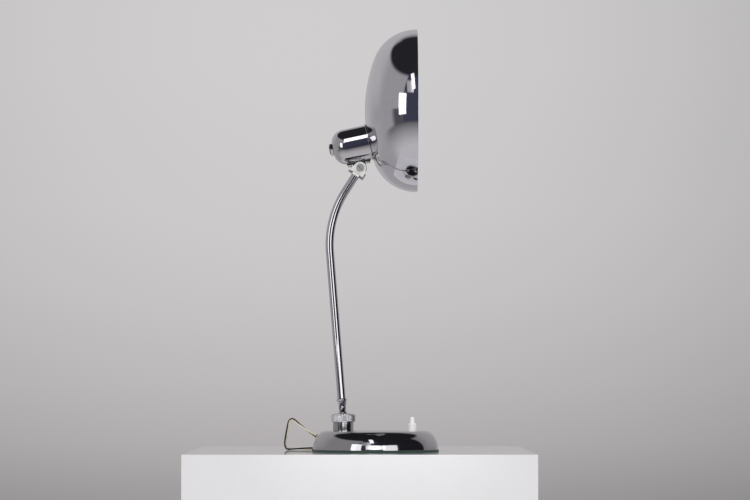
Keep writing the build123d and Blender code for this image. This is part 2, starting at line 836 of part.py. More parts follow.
with BuildPart() as bulb_glass:
    with BuildSketch(head_section):
        with BuildLine():
            outer_end = neck_angle(bulb_radius, neck_radius)
            inner_end = neck_angle(bulb_radius - bulb_glass_wall, neck_radius - bulb_glass_wall)
            outer_bowl = CenterArc((0, glass_centre), bulb_radius, outer_end, 90 - outer_end)
            inner_bowl = CenterArc(
                (0, glass_centre), bulb_radius - bulb_glass_wall, inner_end, 90 - inner_end
            )
            Line(outer_bowl @ 1, inner_bowl @ 1)
            Polyline(
                outer_bowl @ 0,
                (neck_radius, cap_top),
                (neck_radius, cap_top - bulb_neck_insert),
                (neck_radius - bulb_glass_wall, cap_top - bulb_neck_insert),
                (neck_radius - bulb_glass_wall, cap_top),
                inner_bowl @ 0,
            )
        make_face()
    revolve(axis=head_axis)
save(bulb_glass, "bulb_glass")

# Spun shade: a shallow crown, a rounded shoulder and a short straight rim

with BuildPart() as shade:
    with BuildSketch(turning_plane(crown_apex, front)):
        with BuildLine():
            shoulder_centre = (shade_radius - shoulder_radius, shade_depth - shade_straight)
            joint_angle = -degrees(atan2(crown_radius - shoulder_centre[1], shoulder_centre[0]))
            crown_out = CenterArc((0, crown_radius), crown_radius, -90, 90 + joint_angle)
            shoulder_out = CenterArc(shoulder_centre, shoulder_radius, joint_angle, -joint_angle)
            crown_in = CenterArc((0, crown_radius), crown_radius - shade_wall, -90, 90 + joint_angle)
            shoulder_in = CenterArc(
                shoulder_centre, shoulder_radius - shade_wall, joint_angle, -joint_angle
            )
            Polyline(
                shoulder_out @ 1,
                (shade_radius, shade_depth),
                (shade_radius - shade_wall, shade_depth),
                shoulder_in @ 1,
            )
            Line(crown_out @ 0, crown_in @ 0)
        make_face()
    revolve(axis=Axis(crown_apex, front))
    with BuildSketch(square_plane(crown_point, head_direction)):
        Circle(skirt_hole_radius)
    extrude(amount=holder_skirt_length, both=True, mode=Mode.SUBTRACT)
save(shade, "shade")

# Push switch: a body held between ballast and shell, a sleeve through the shell and a plunger

switch_foot = Vector(switch_offset, 0, 0)
switch_bottom = ballast_top - switch_body_depth
chamber_floor = switch_bottom + switch_chamber_floor
collar_floor = chamber_floor + plunger_travel + loose_gap
sleeve_top = base_height + switch_sleeve_height

with BuildPart() as switch_body:
    with BuildSketch(turning_plane(switch_foot, up)):
        Polygon(
            (0, switch_bottom),
            (switch_body_radius, switch_bottom),
            (switch_body_radius, ballast_top),
            (switch_flange_radius, ballast_top),
            (switch_flange_radius, shell_ceiling),
            (switch_sleeve_radius, shell_ceiling),
            (switch_sleeve_radius, sleeve_top - switch_sleeve_edge),
            (switch_sleeve_radius - switch_sleeve_edge, sleeve_top),
            (plunger_radius + face_gap, sleeve_top),
            (plunger_radius + face_gap, collar_floor + plunger_collar_height + face_gap),
            (switch_chamber_radius, collar_floor + plunger_collar_height + face_gap),
            (switch_chamber_radius, chamber_floor),
            (0, chamber_floor),
            align=None,
        )
    revolve(axis=Axis(switch_foot, up))
save(switch_body, "switch_body")

with BuildPart() as switch_plunger:
    with BuildSketch(turning_plane(switch_foot, up)):
        Polygon(
            (0, collar_floor),
            (plunger_collar_radius, collar_floor),
            (plunger_collar_radius, collar_floor + plunger_collar_height),
            (plunger_radius, collar_floor + plunger_collar_height),
            (plunger_radius, sleeve_top + plunger_height - switch_sleeve_edge),
            (plunger_radius - switch_sleeve_edge, sleeve_top + plunger_height),
            (0, sleeve_top + plunger_height),
            align=None,
        )
    revolve(axis=Axis(switch_foot, up))
save(switch_plunger, "switch_plunger")

# Bush in the shell, and the block inside that grips the cord

bush_plane = Plane(origin=cord_exit, x_dir=cord_side, z_dir=cord_out)

with BuildPart() as cord_bush:
    for start, length, radius in (
        (-bush_inner_start - bush_inner_thickness, bush_inner_thickness, bush_inner_radius),
        (-bush_inner_start, bush_inner_start + face_gap, bush_body_radius),
        (face_gap, bush_flange_thickness, bush_flange_radius),
    ):
        with BuildSketch(bush_plane.offset(start)):
            Circle(radius)
        extrude(amount=length)
    nose_start = face_gap + bush_flange_thickness
    with BuildSketch(bush_plane.offset(nose_start)):
        Circle(bush_body_radius)
    with BuildSketch(bush_plane.offset(bush_nose_length)):
        Circle(bush_nose_radius)
    loft()
    with BuildSketch(bush_plane):
        Circle(cord_radius + loose_gap)
    extrude(amount=2 * bush_nose_length, both=True, mode=Mode.SUBTRACT)
save(cord_bush, "cord_bush")

with BuildPart() as cord_clamp:
    block_place = cord_exit - cord_out * (clamp_block_start + clamp_block_length / 2)
    block_foot = Vector(block_place.X, block_place.Y, plate_top + cord_channel_floor)
    with BuildSketch(Plane(origin=block_foot, x_dir=cord_heading, z_dir=up)):
        Rectangle(clamp_block_length, cord_channel_width - 2 * fit_gap)
    extrude(amount=clamp_block_height)
    with BuildSketch(bush_plane):
        Circle(cord_radius + fit_gap)
    extrude(amount=-2 * cord_inner_run, mode=Mode.SUBTRACT)
save(cord_clamp, "cord_clamp")

# Cord: the free stretch, from the block inside the foot to the start of the coil

coil_x, coil_y = coil_centre
coil_start = Vector(coil_x, coil_y - coil_radius, cord_radius)
cord_run_end = coil_start - front * 2 * cord_radius

free_points = [
    cord_exit - cord_out * cord_inner_run,
    cord_exit + cord_out * 10,
    Vector(-92.0, 42.0, 31.4),
    Vector(-99.9, 44.4, 38.2),
    Vector(-104.4, 46.6, 36.2),
    Vector(-106.2, 48.8, 27.4),
    Vector(-108.5, 51.8, 16.4),
    Vector(-110.0, 54.8, 7.6),
    Vector(-108.2, 62.6, cord_radius),
    Vector(-103.4, 72.8, cord_radius),
    Vector(-93.5, 79.2, cord_radius),
    Vector(-78.0, 82.4, cord_radius),
    cord_run_end - front * 16,
    cord_run_end,
]


def arc_radii(points):
    """The largest radius that each corner's two runs allow, and its turn in degrees."""
    radii = []
    turns = []
    for before, corner, after in zip(points, points[1:], points[2:]):
        turn = (corner - before).get_angle(after - corner)
        run = min((corner - before).length, (after - corner).length)
        radii.append(0.45 * run / tan(radians(turn) / 2))
        turns.append(turn)
    return radii, turns


def report_cord(name, points, line, piece):
    """Print the arcs of a cord's tube and compare its volume with its section times its length."""
    radii, turns = arc_radii(points)
    print(name, "radii", [round(radius, 1) for radius in radii])
    print(name, "turns", [round(turn) for turn in turns])
    fill = piece.part.volume / (pi * cord_radius**2 * line.length)
    print(name, f"length {line.length:.1f}, volume over section times length {fill:.4f}")


with BuildPart() as cord_free:
    with BuildLine() as free_line:
        FilletPolyline(*free_points, radius=arc_radii(free_points)[0])
    with BuildSketch(Plane(origin=free_line.line @ 0, z_dir=free_line.line % 0)):
        Circle(cord_radius)
    sweep(path=free_line.line)
save(cord_free, "cord_free")
report_cord("cord_free", free_points, free_line.wire(), cord_free)

# Cord: the coil, four layers that spiral in and out, made of half turns

coil_places = [coil_start - front * 2 * cord_radius, coil_start]
layer_radius = coil_radius
turn_side = -1
for layer, half_turns in enumerate(coil_half_turns):
    step = -coil_pitch / 2 if layer % 2 == 0 else coil_pitch / 2
    height = cord_radius + layer * coil_layer_height
    for _ in range(half_turns):
        layer_radius += step
        turn_side = -turn_side
        coil_places.append(Vector(coil_x, coil_y + turn_side * layer_radius, height))
    if layer + 1 < len(coil_half_turns):
        turn_side = -turn_side
        coil_places.append(Vector(coil_x, coil_y + turn_side * layer_radius, height + coil_layer_height))
tail_start = coil_places[-1] + front * 2 * cord_radius

with BuildPart() as cord_coil:
    with BuildLine() as coil_line:
        Line(coil_places[0], coil_places[1])
        heading = front
        for begin, end in zip(coil_places[1:], coil_places[2:]):
            middle = (begin + end) / 2 + heading * (end - begin).length / 2
            TangentArc(begin, middle, tangent=heading)
            TangentArc(middle, end, tangent=end - begin)
            heading = -heading
        Line(coil_places[-1], tail_start)
    with BuildSketch(Plane(origin=coil_places[0], z_dir=front)):
        Circle(cord_radius)
    sweep(path=coil_line.line)
save(cord_coil, "cord_coil")

sample_step = 1.5
coil_wire = coil_line.wire()
sample_count = int(coil_wire.length / sample_step)
samples = [tuple(coil_wire @ (index / sample_count)) for index in range(sample_count + 1)]
apart = int(4 * cord_radius * pi / sample_step)
least_gap = min(
    dist(first, second)
    for index, first in enumerate(samples)
    for second in samples[index + apart :]
)
print(f"coil length {coil_wire.length:.1f}, least gap to itself {least_gap - 2 * cord_radius:.2f}")

# Cord: the tail, from the top of the coil down to the plug

plug_direction = Vector(cos(radians(plug_heading)), sin(radians(plug_heading)), 0)
plug_side = Vector(-plug_direction.Y, plug_direction.X, 0)
plug_back = Vector(tail_start.X + 56.0, tail_start.Y + 12.5, plug_half_thickness)

tail_points = [
    tail_start,
    tail_start + front * 15,
    tail_start + Vector(28.0, 0.7, -4.4),
    tail_start + Vector(40.5, 2.6, -8.0),
    plug_back - plug_direction * 9.5,
    plug_back,
]

with BuildPart() as cord_tail:
    with BuildLine() as tail_line:
        FilletPolyline(*tail_points, radius=arc_radii(tail_points)[0])
    with BuildSketch(Plane(origin=tail_line.line @ 0, z_dir=tail_line.line % 0)):
        Circle(cord_radius)
    sweep(path=tail_line.line)
save(cord_tail, "cord_tail")
report_cord("cord_tail", tail_points, tail_line.wire(), cord_tail)
cord_length = free_line.wire().length + coil_wire.length + tail_line.wire().length
print(f"whole cord {cord_length:.0f}")

# Two-pin plug: tapered relief, flat body and round pins

relief_plane = Plane(origin=plug_back, x_dir=plug_side, z_dir=plug_direction)
pin_plane = relief_plane.offset(plug_relief_length + plug_length)
pin_places = ((-plug_pin_spacing / 2, 0), (plug_pin_spacing / 2, 0))

with BuildPart() as plug_body:
    plug_foot = plug_back + plug_direction * plug_relief_length - up * plug_half_thickness
    with BuildSketch(Plane(origin=plug_foot, x_dir=plug_direction, z_dir=up)):
        Polygon(
            (0, -plug_waist_half_width),
            (plug_length / 2, -plug_half_width),
            (plug_length, -plug_half_width),
            (plug_length, plug_half_width),
            (plug_length / 2, plug_half_width),
            (0, plug_waist_half_width),
            align=None,
        )
    extrude(amount=2 * plug_half_thickness)
    fillet(plug_body.edges().filter_by(Axis.Z), radius=plug_edge)
    chamfer(plug_body.faces().filter_by(Axis.Z).edges(), length=plug_edge / 2)
    with BuildSketch(relief_plane):
        Circle(cord_radius + plug_edge / 2)
    with BuildSketch(relief_plane.offset(plug_relief_length)):
        Circle(plug_relief_radius)
    loft()
    with BuildSketch(pin_plane):
        with Locations(*pin_places):
            Circle(plug_shank_radius + fit_gap)
    extrude(amount=-plug_shank_length, mode=Mode.SUBTRACT)
save(plug_body, "plug_body")

with BuildPart() as plug_pins:
    with BuildSketch(pin_plane.offset(-plug_shank_length)):
        with Locations(*pin_places):
            Circle(plug_shank_radius)
    extrude(amount=plug_shank_length + plug_pin_groove)
    with BuildSketch(pin_plane.offset(plug_pin_groove)):
        with Locations(*pin_places):
            Circle(plug_pin_radius)
    extrude(amount=plug_pin_length - plug_pin_groove)
    pin_tips = plug_pins.faces().sort_by(Axis(plug_back, plug_direction))[-2:]
    fillet(pin_tips.edges(), radius=plug_pin_radius / 2)
save(plug_pins, "plug_pins")
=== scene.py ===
# %% [markdown]
# # A chromed desk lamp
#
# The lamp's solids come packed, in metres, with +Z up and the origin on the table under the middle
# of the round foot. This lesson dresses them. Mirror chrome shows every facet, so most of the
# visible metal is turned again here as smooth surfaces of exactly the same size, and the small
# machined pieces are copies of their solids with softened edges.
#
# The frame is loaded first: the solids and the record that goes with them. The finished lamp has
# to stay inside it.

# %% Load the frame
import json
import math

import bmesh
import bpy
from mathutils import Matrix, Vector


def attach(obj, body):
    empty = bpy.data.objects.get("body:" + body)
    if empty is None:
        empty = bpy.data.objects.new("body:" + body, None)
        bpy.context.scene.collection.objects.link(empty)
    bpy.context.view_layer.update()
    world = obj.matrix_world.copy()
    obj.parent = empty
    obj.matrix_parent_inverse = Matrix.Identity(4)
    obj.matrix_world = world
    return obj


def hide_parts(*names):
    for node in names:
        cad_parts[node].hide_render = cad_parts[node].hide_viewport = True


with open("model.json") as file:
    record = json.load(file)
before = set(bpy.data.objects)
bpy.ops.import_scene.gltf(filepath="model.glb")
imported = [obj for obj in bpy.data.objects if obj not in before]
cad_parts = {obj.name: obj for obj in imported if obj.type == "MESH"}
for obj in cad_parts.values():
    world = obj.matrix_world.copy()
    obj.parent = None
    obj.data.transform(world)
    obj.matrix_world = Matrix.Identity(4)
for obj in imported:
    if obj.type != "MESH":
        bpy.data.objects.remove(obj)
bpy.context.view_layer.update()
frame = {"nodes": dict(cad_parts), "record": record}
MM = 0.001

# %% [markdown]
# The photograph was taken with a long lens from nearly four metres away, a little above the table,
# and tilted up by some two degrees so that the lamp fills the height. A long lens is imitated with
# the same distance and a focal length that gives 1.2 mm to a pixel at the lamp.

# %% Camera
camera_distance = 3.75
camera_side = -0.0005
camera_height = 0.0854
aim_height = 0.2414
frame_width = 0.900  # how much of the lamp's own plane the picture's width covers

lens_data = bpy.data.cameras.new("camera")
camera = bpy.data.objects.new("camera", lens_data)
bpy.context.collection.objects.link(camera)
bpy.context.scene.camera = camera
camera.location = (camera_side, -camera_distance, camera_height)
pitch = math.atan2(aim_height - camera_height, camera_distance)
camera.rotation_euler = (math.pi / 2 + pitch, 0, 0)
aim_depth = math.hypot(camera_distance, aim_height - camera_height)
lens_data.lens = lens_data.sensor_width * aim_depth / frame_width
lens_data.clip_end = 50
print("camera pitch", round(math.degrees(pitch), 2), "lens", round(lens_data.lens, 1))

# %% [markdown]
# ## The cord
#
# The cord is a twisted pair: one black strand and one cream strand, wound loosely round each other.
# It leaves the foot at the back, rises to the kink that the photograph shows, and drops to the
# table. What the photograph doesn't show lies behind the foot in a round coil of four layers, and
# ends in a two-pin plug.
#
# A cord like this is best drawn as one smooth line first, through a handful of control points.
# The two strands then follow that line as helices, so every bend stays even.

# %% Route of the cord's line
cord_radius = 1.9 * MM
exit_point = Vector((-66.03, 30.79, 14.6)) * MM
exit_direction = Vector((-0.8183, 0.3816, 0.4298)).normalized()

coil_centre = Vector((-40.0, 109.0, 0)) * MM
coil_radius = 28.5 * MM
coil_pitch = 5.2 * MM
layer_height = 4.5 * MM
coil_half_turns = (5, 5, 5, 4)
points_per_half_turn = 8
coil_end_run = 3.8 * MM


def coil_points():
    """Control points round the coil: each layer spirals in or out, and climbs in a half turn."""
    swell = 1 / math.cos(math.pi / points_per_half_turn / 2)
    points = []
    angle = -math.pi / 2
    radius = coil_radius
    height = cord_radius
    for layer, half_turns in enumerate(coil_half_turns):
        inward = -1 if layer % 2 == 0 else 1
        climbs = 1 if layer + 1 < len(coil_half_turns) else 0
        for half_turn in range(half_turns + climbs):
            climbing = half_turn == half_turns
            for step in range(points_per_half_turn):
                part = (step + 0.5) / points_per_half_turn
                turned = angle + math.pi * part
                reach = radius + (0 if climbing else inward * coil_pitch / 2 * part)
                rise = layer_height * part if climbing else 0
                points.append(
                    coil_centre
                    + Vector((math.cos(turned), math.sin(turned), 0)) * reach * swell
                    + Vector((0, 0, height + rise))
                )
            angle += math.pi
            if climbing:
                height += layer_height
            else:
                radius += inward * coil_pitch / 2
    return points, radius, height


coil_route, coil_end_radius, coil_end_height = coil_points()
coil_start = coil_centre + Vector((0, -coil_radius, cord_radius))
tail_start = coil_centre + Vector((coil_end_run, -coil_end_radius, coil_end_height))
plug_heading = math.radians(48)
plug_direction = Vector((math.cos(plug_heading), math.sin(plug_heading), 0))
plug_back = tail_start + Vector((56.0, 12.5, 0)) * MM
plug_back.z = 6.8 * MM

free_route = [
    exit_point - exit_direction * 12 * MM,
    exit_point + exit_direction * 10 * MM,
    *(
        Vector(point) * MM
        for point in (
            (-92.0, 42.0, 31.4),
            (-99.9, 44.4, 38.6),
            (-104.6, 46.6, 36.6),
            (-106.2, 48.8, 27.4),
            (-108.5, 51.8, 16.4),
            (-110.0, 54.8, 7.6),
            (-108.2, 62.6, 1.9),
            (-103.4, 72.8, 1.9),
            (-93.5, 79.2, 1.9),
            (-78.0, 82.4, 1.9),
        )
    ),
    coil_start - Vector((19.8, 0, 0)) * MM,
]
tail_route = [
    tail_start,
    tail_start + Vector((15.0, 0, 0)) * MM,
    tail_start + Vector((28.0, 0.7, -4.4)) * MM,
    tail_start + Vector((40.5, 2.6, -8.0)) * MM,
    plug_back - plug_direction * 9.5 * MM,
    plug_back + plug_direction * 2.0 * MM,
]
cord_route = free_route + coil_route + tail_route
print("cord route", len(cord_route), "control points")

# %% [markdown]
# The line is a NURBS spline with those points as its control points. Reading it back as a mesh
# gives closely spaced points along it, with nothing drawn by hand in between.

# %% Smooth line through the route


def curve_of(name, kind, places, **settings):
    """Curve data with one spline of a kind over the places."""
    curve = bpy.data.curves.new(name, "CURVE")
    curve.dimensions = "3D"
    for key, value in settings.items():
        setattr(curve, key, value)
    spline = curve.splines.new(kind)
    spline.points.add(len(places) - 1)
    for spot, place in zip(spline.points, places):
        spot.co = (*place, 1)
    return curve


def read_back(name, curve):
    """The mesh that Blender makes of a curve."""
    holder = bpy.data.objects.new(name, curve)
    bpy.context.collection.objects.link(holder)
    bpy.context.view_layer.update()
    evaluated = holder.evaluated_get(bpy.context.evaluated_depsgraph_get())
    mesh = bpy.data.meshes.new_from_object(evaluated)
    bpy.data.objects.remove(holder)
    return mesh


def smooth_line(name, route, resolution):
    """Points along an open NURBS spline of order three, in metres."""
    curve = curve_of(name, "NURBS", route, resolution_u=resolution)
    curve.splines[0].order_u = 3
    curve.splines[0].use_endpoint_u = True
    line = read_back(name, curve)
    places = [vertex.co.copy() for vertex in line.vertices]
    bpy.data.meshes.remove(line)
    return places


cord_line = smooth_line("cord_line", cord_route, 6)

# %% [markdown]
# Each strand is a round section carried along a helix round that line. The frame that turns the
# helix is handed on from point to point, so that it doesn't spin by itself where the line curves.

# %% Two strands twisted along the line
strand_radius = 0.94 * MM
twist_length = 104 * MM
crossing = 34 * MM  # from the line's start to where the cream strand first passes in front


def carried_frames(line):
    """Each point with its length along the line, and a side and an up vector that turn little."""
    frames = []
    side = None
    travelled = 0
    for index, place in enumerate(line):
        before = line[max(index - 1, 0)]
        ahead = line[min(index + 1, len(line) - 1)] - before
        ahead.normalize()
        side = ahead.orthogonal() if side is None else side - ahead * side.dot(ahead)
        side.normalize()
        travelled += (place - before).length
        frames.append((place, travelled, side.copy(), ahead.cross(side)))
    return frames


def tube_mesh(name, centres, radius):
    """A round tube with closed ends along points, read back from a bevelled curve."""
    bevel = {"bevel_depth": radius, "bevel_resolution": 2, "use_fill_caps": True}
    return read_back(name, curve_of(name, "POLY", centres, **bevel))


def piece_from(name, shape, smooth=True):
    """Turn a finished bmesh into an object that sits at the origin."""
    for face in shape.faces:
        face.smooth = smooth
    mesh = bpy.data.meshes.new(name)
    shape.to_mesh(mesh)
    shape.free()
    piece = bpy.data.objects.new(name, mesh)
    bpy.context.collection.objects.link(piece)
    return piece


def helix_round(line, radius, phase):
    """Points that wind round a line at a radius, one turn in each twist length."""
    points = []
    for place, travelled, side, rise in carried_frames(line):
        angle = phase - 2 * math.pi * travelled / twist_length
        points.append(place + (side * math.cos(angle) + rise * math.sin(angle)) * radius)
    return points


def angle_behind(line, reach):
    """The angle, in the frame at a length along the line, of the side away from the camera."""
    return next(
        math.atan2(rise.y, side.y)
        for place, travelled, side, rise in carried_frames(line)
        if travelled >= reach
    )


strand_shape = bmesh.new()
first_turn = angle_behind(cord_line, crossing) + 2 * math.pi * crossing / twist_length
for finish_index, name in enumerate(("black_strand", "cream_strand")):
    strand = helix_round(cord_line, strand_radius, first_turn + math.pi * finish_index)
    before = len(strand_shape.faces)
    strand_shape.from_mesh(tube_mesh(name, strand, strand_radius))
    strand_shape.faces.ensure_lookup_table()
    for face in strand_shape.faces[before:]:
        face.material_index = finish_index
cord = piece_from("twisted_cord", strand_shape)
print("twisted cord", len(cord.data.polygons), "faces")

# %% [markdown]
# ## Studio
#
# Chrome has hardly any colour of its own: it shows the room. The room here is what the photograph
# suggests: a light grey wall behind, grey walls at the sides, a dark room with a pale doorway and
# a dark ceiling in front, dark things low down on the left, a pale floor, and a white plinth with
# a glossy top. The walls are painted in the world's colour as a function of direction, so that
# they show behind the lamp and in every reflection from any side, and the plinth is a real block,
# because it catches the lamp's shadow and mirror image.
#
# Shader maths is easier to read as an expression, so a small class wraps a node's output and
# turns Python's operators into Math nodes. Its one method adds every other kind of node.

# %% A signal that arithmetic works on


class Signal:
    """One output of a shader node. Arithmetic on it adds Math nodes."""

    def __init__(self, tree, socket=None):
        self.tree = tree
        self.socket = socket

    def node(self, kind, settings=None, inputs=None, output=0):
        """Add a node: its settings first, then values or links of its sockets."""
        made = self.tree.nodes.new(kind)
        for key, value in (settings or {}).items():
            if key == "stops":
                ramp = made.color_ramp
                while len(ramp.elements) < len(value):
                    ramp.elements.new(0.5)
                for element, (place, colour) in zip(ramp.elements, value):
                    element.position = place
                    element.color = (*colour, 1)
            else:
                setattr(made, key, value)
        for key, value in (inputs or {}).items():
            if isinstance(value, Signal):
                self.tree.links.new(value.socket, made.inputs[key])
            else:
                made.inputs[key].default_value = value
        return Signal(self.tree, made.outputs[output] if len(made.outputs) else None)

    def maths(self, operation, first, second, clamp=False):
        """Add a Math node on two signals or numbers."""
        settings = {"operation": operation, "use_clamp": clamp}
        return self.node("ShaderNodeMath", settings, {0: first, 1: second})

    def __add__(self, other):
        return self.maths("ADD", self, other)

    __radd__ = __add__

    def __sub__(self, other):
        return self.maths("SUBTRACT", self, other)

    def __rsub__(self, other):
        return self.maths("SUBTRACT", other, self)

    def __mul__(self, other):
        return self.maths("MULTIPLY", self, other)

    __rmul__ = __mul__

    def between(self, low, high):
        """0 below low, 1 above high, and smooth in between."""
        inputs = {"Value": self, "From Min": low, "From Max": high}
        return self.node("ShaderNodeMapRange", {"interpolation_type": "SMOOTHSTEP"}, inputs)

    def tint(self, dark, light):
        """Mix two colours by this signal."""
        inputs = {"Factor": self, 6: (*dark, 1) if isinstance(dark, tuple) else dark,
                  7: (*light, 1) if isinstance(light, tuple) else light}
        return self.node("ShaderNodeMix", {"data_type": "RGBA"}, inputs, 2)


print("signal class ready")

# %% [markdown]
# The world has two jobs. It gives the object an even fill light, and it is what the camera and the
# mirrors see. Its colour starts from the direction of the ray: x to the right, y away from the
# camera and z upwards. The wall behind the lamp is darkest low down, which a colour ramp over the
# height gives, and falls off a little to both sides, by the square of the distance from the middle.

# %% Wall behind the lamp
world = bpy.data.worlds.new("studio")
bpy.context.scene.world = world
world.use_nodes = True
world.node_tree.nodes.clear()
room = Signal(world.node_tree)
direction = room.node("ShaderNodeTexCoord")
axes = room.node("ShaderNodeSeparateXYZ", None, {"Vector": direction})
parts = axes.socket.node.outputs
along_x, along_y, along_z = (Signal(world.node_tree, parts[index]) for index in range(3))

height_part = room.node(
    "ShaderNodeMapRange", None, {"Value": along_z, "From Min": -0.05, "From Max": 0.10}
)
wall_light = (
    (0.0, (0.300, 0.293, 0.293)), (0.10, (0.355, 0.345, 0.347)), (0.20, (0.445, 0.425, 0.430)),
    (0.33, (0.510, 0.490, 0.497)), (0.53, (0.573, 0.560, 0.563)), (0.70, (0.607, 0.594, 0.598)),
    (1.0, (0.628, 0.615, 0.620)),
)
lit_wall = room.node("ShaderNodeValToRGB", {"stops": wall_light}, {0: height_part})
off_centre = along_x + 0.024
edge_part = room.maths("MULTIPLY", off_centre * off_centre, 46.0, clamp=True)
wall = room.node(
    "ShaderNodeMix", {"data_type": "RGBA", "blend_type": "MULTIPLY"},
    {0: edge_part, 6: lit_wall, 7: (0.8, 0.8, 0.8, 1)}, 2,
)
print("wall tones", len(wall_light))

# %% [markdown]
# The walls around the lamp show only in its mirrors. They could be built as planes, but painted by
# direction they need no geometry and stay out of the lamps' light. Those at the back are darkest
# just above the horizontal, and lighter higher up. Those on the camera's side get darker to the
# right. The last two mixes are what the very rim of a mirror shows: first a lighter wall, then a
# darker one.

# %% Walls around
side_part = room.node(
    "ShaderNodeMapRange", None, {"Value": along_z, "From Min": -0.20, "From Max": 0.40}
)
side_light = (
    (0.0, (0.450, 0.440, 0.445)), (0.23, (0.440, 0.430, 0.435)), (0.37, (0.420, 0.410, 0.415)),
    (0.55, (0.490, 0.480, 0.490)), (0.83, (0.530, 0.520, 0.530)),
)
back_wall = room.node("ShaderNodeValToRGB", {"stops": side_light}, {0: side_part})
near_wall = along_x.between(-0.30, 0.30).tint((0.40, 0.39, 0.40), (0.33, 0.32, 0.33))
side_wall = along_y.between(0.05, 0.60).tint(near_wall, back_wall)
behind = along_y.between(0.75, 0.95).tint(side_wall, (0.505, 0.490, 0.497))
around = along_y.between(0.96, 0.99).tint(behind, (0.435, 0.420, 0.427))
print("side wall tones", len(side_light))

# %% [markdown]
# The camera's side of the room is dark: bluish in the middle, nearly black on the right, and with
# dark things low down on the left. It has a pale doorway, a dark ceiling and a pale floor. Each is
# a patch with soft edges, bounded in one direction or more and laid over what is there already.

# %% Dark room, ceiling and floor
below = 0.0 - along_z
forward = 0.0 - along_y
clutter = below.between(-0.03, 0.03) * forward.between(0.30, 0.55)
cluttered = clutter.tint(around, (0.095, 0.095, 0.105))
dark_half = along_x * 0.625 - along_y
dark_room = along_x.between(-0.05, 0.20).tint((0.056, 0.058, 0.090), (0.020, 0.019, 0.025))
dark_front = dark_half.between(0.41, 0.47).tint(cluttered, dark_room)
pale_door = along_x.between(-0.30, -0.20).tint((0.48, 0.47, 0.475), (0.92, 0.91, 0.915))
door_width = along_x.between(-0.42, -0.38) - along_x.between(-0.15, -0.12)
door_height = along_z.between(0.34, 0.38) - along_z.between(0.58, 0.64)
doorway = (door_width * door_height * forward.between(0.3, 0.5)).tint(dark_front, pale_door)
ceiling_edge = along_y + (along_x * along_x).between(0.04, 0.10) * 0.05
ceiling = ceiling_edge.between(0.52, 0.68).tint((0.021, 0.021, 0.024), (0.40, 0.39, 0.395))
above = along_z.between(0.66, 0.74).tint(doorway, ceiling)
floor_light = (
    (0.30, (0.100, 0.100, 0.108)), (0.42, (0.240, 0.235, 0.240)), (0.54, (0.385, 0.375, 0.380)),
    (0.68, (0.520, 0.510, 0.515)), (0.80, (0.620, 0.610, 0.615)),
)
near_floor = room.node("ShaderNodeValToRGB", {"stops": floor_light}, {0: below})
pale_floor = forward.between(-0.25, 0.30).tint((0.42, 0.41, 0.415), near_floor)
room_colour = below.between(0.28, 0.38).tint(above, pale_floor)
print("floor tones", len(floor_light))

# %% [markdown]
# The Light Path node tells the kinds of ray apart. Mirror and see-through rays get the room, the
# camera gets the wall over a pale ground, and every other ray brings the even fill light.

# %% What each kind of ray sees
fill_light = (0.78, 0.78, 0.79)
pale_ground = (0.62, 0.61, 0.615)
path = room.node("ShaderNodeLightPath")
outputs = path.socket.node.outputs
is_camera, is_glossy, is_clear = (
    Signal(world.node_tree, outputs[name])
    for name in ("Is Camera Ray", "Is Glossy Ray", "Is Transmission Ray")
)
seen = room.maths("MAXIMUM", room.maths("MAXIMUM", is_camera, is_glossy), is_clear)
backdrop = below.between(0.06, 0.24).tint(wall, pale_ground)
straight = is_camera.tint(room_colour, backdrop)
colour = seen.tint(fill_light, straight)
glow = room.node("ShaderNodeBackground", None, {"Color": colour, "Strength": 1.0})
room.node("ShaderNodeOutputWorld", None, {"Surface": glow})
print("world nodes", len(world.node_tree.nodes))

# %% [markdown]
# The lamps are there for their reflections as much as for their light: a soft box on the left,
# whose bright rectangle shows in the shade, a narrow one above the camera, which draws the white
# stripe along the housing, and a low one on the right, which draws the bright line on the arm and
# on the column. A small card near the foot, with its light kept in a narrow beam, gives the foot
# its bright band and stays out of the shade.

# %% Lamps


def soft_box(name, place, aim, width, height, power, roll=0, beam=180):
    """A rectangular area lamp at a place, turned towards a point. roll and beam are in degrees."""
    data = bpy.data.lights.new(name, "AREA")
    data.shape = "RECTANGLE"
    data.size = width
    data.size_y = height
    data.energy = power
    data.spread = math.radians(beam)
    lamp = bpy.data.objects.new(name, data)
    lamp.location = place
    facing = (Vector(aim) - Vector(place)).to_track_quat("-Z", "Y").to_matrix()
    lamp.rotation_euler = (facing @ Matrix.Rotation(math.radians(roll), 3, "Z")).to_euler()
    lamp.visible_camera = False
    bpy.context.collection.objects.link(lamp)


soft_box(
    "soft_box_left", place=(-1.50, -2.09, 0.65), aim=(0, 0, 0.35),
    width=0.88, height=1.27, power=6.2,
)
soft_box(
    "strip_above", place=(-0.31, -1.97, 1.90), aim=(0, 0, 0.35),
    width=0.30, height=1.00, power=2, roll=12,
)
soft_box(
    "low_box_right", place=(0.89, -1.746, 0.40), aim=(0, 0, 0.10),
    width=0.95, height=0.80, power=4,
)
soft_box(
    "foot_card", place=(0.005, -0.385, 0.080), aim=(0.01, -0.07, 0.01),
    width=0.235, height=0.115, power=0.018, beam=44,
)
print("lamps", [item.name for item in bpy.data.lights])

# %% [markdown]
# ## Finishes
#
# A few small helpers add the nodes that every finish needs. All patterns read object coordinates
# in metres, so they keep their real size on every piece.

# %% What every finish needs


def new_finish(name):
    """A material with one Principled shader, and the signal that its nodes start from."""
    finish = bpy.data.materials.new(name)
    finish.use_nodes = True
    tree = finish.node_tree
    shader = tree.nodes["Principled BSDF"]
    start = Signal(tree)
    place = start.node("ShaderNodeTexCoord", None, None, 3)
    return finish, shader, start, place


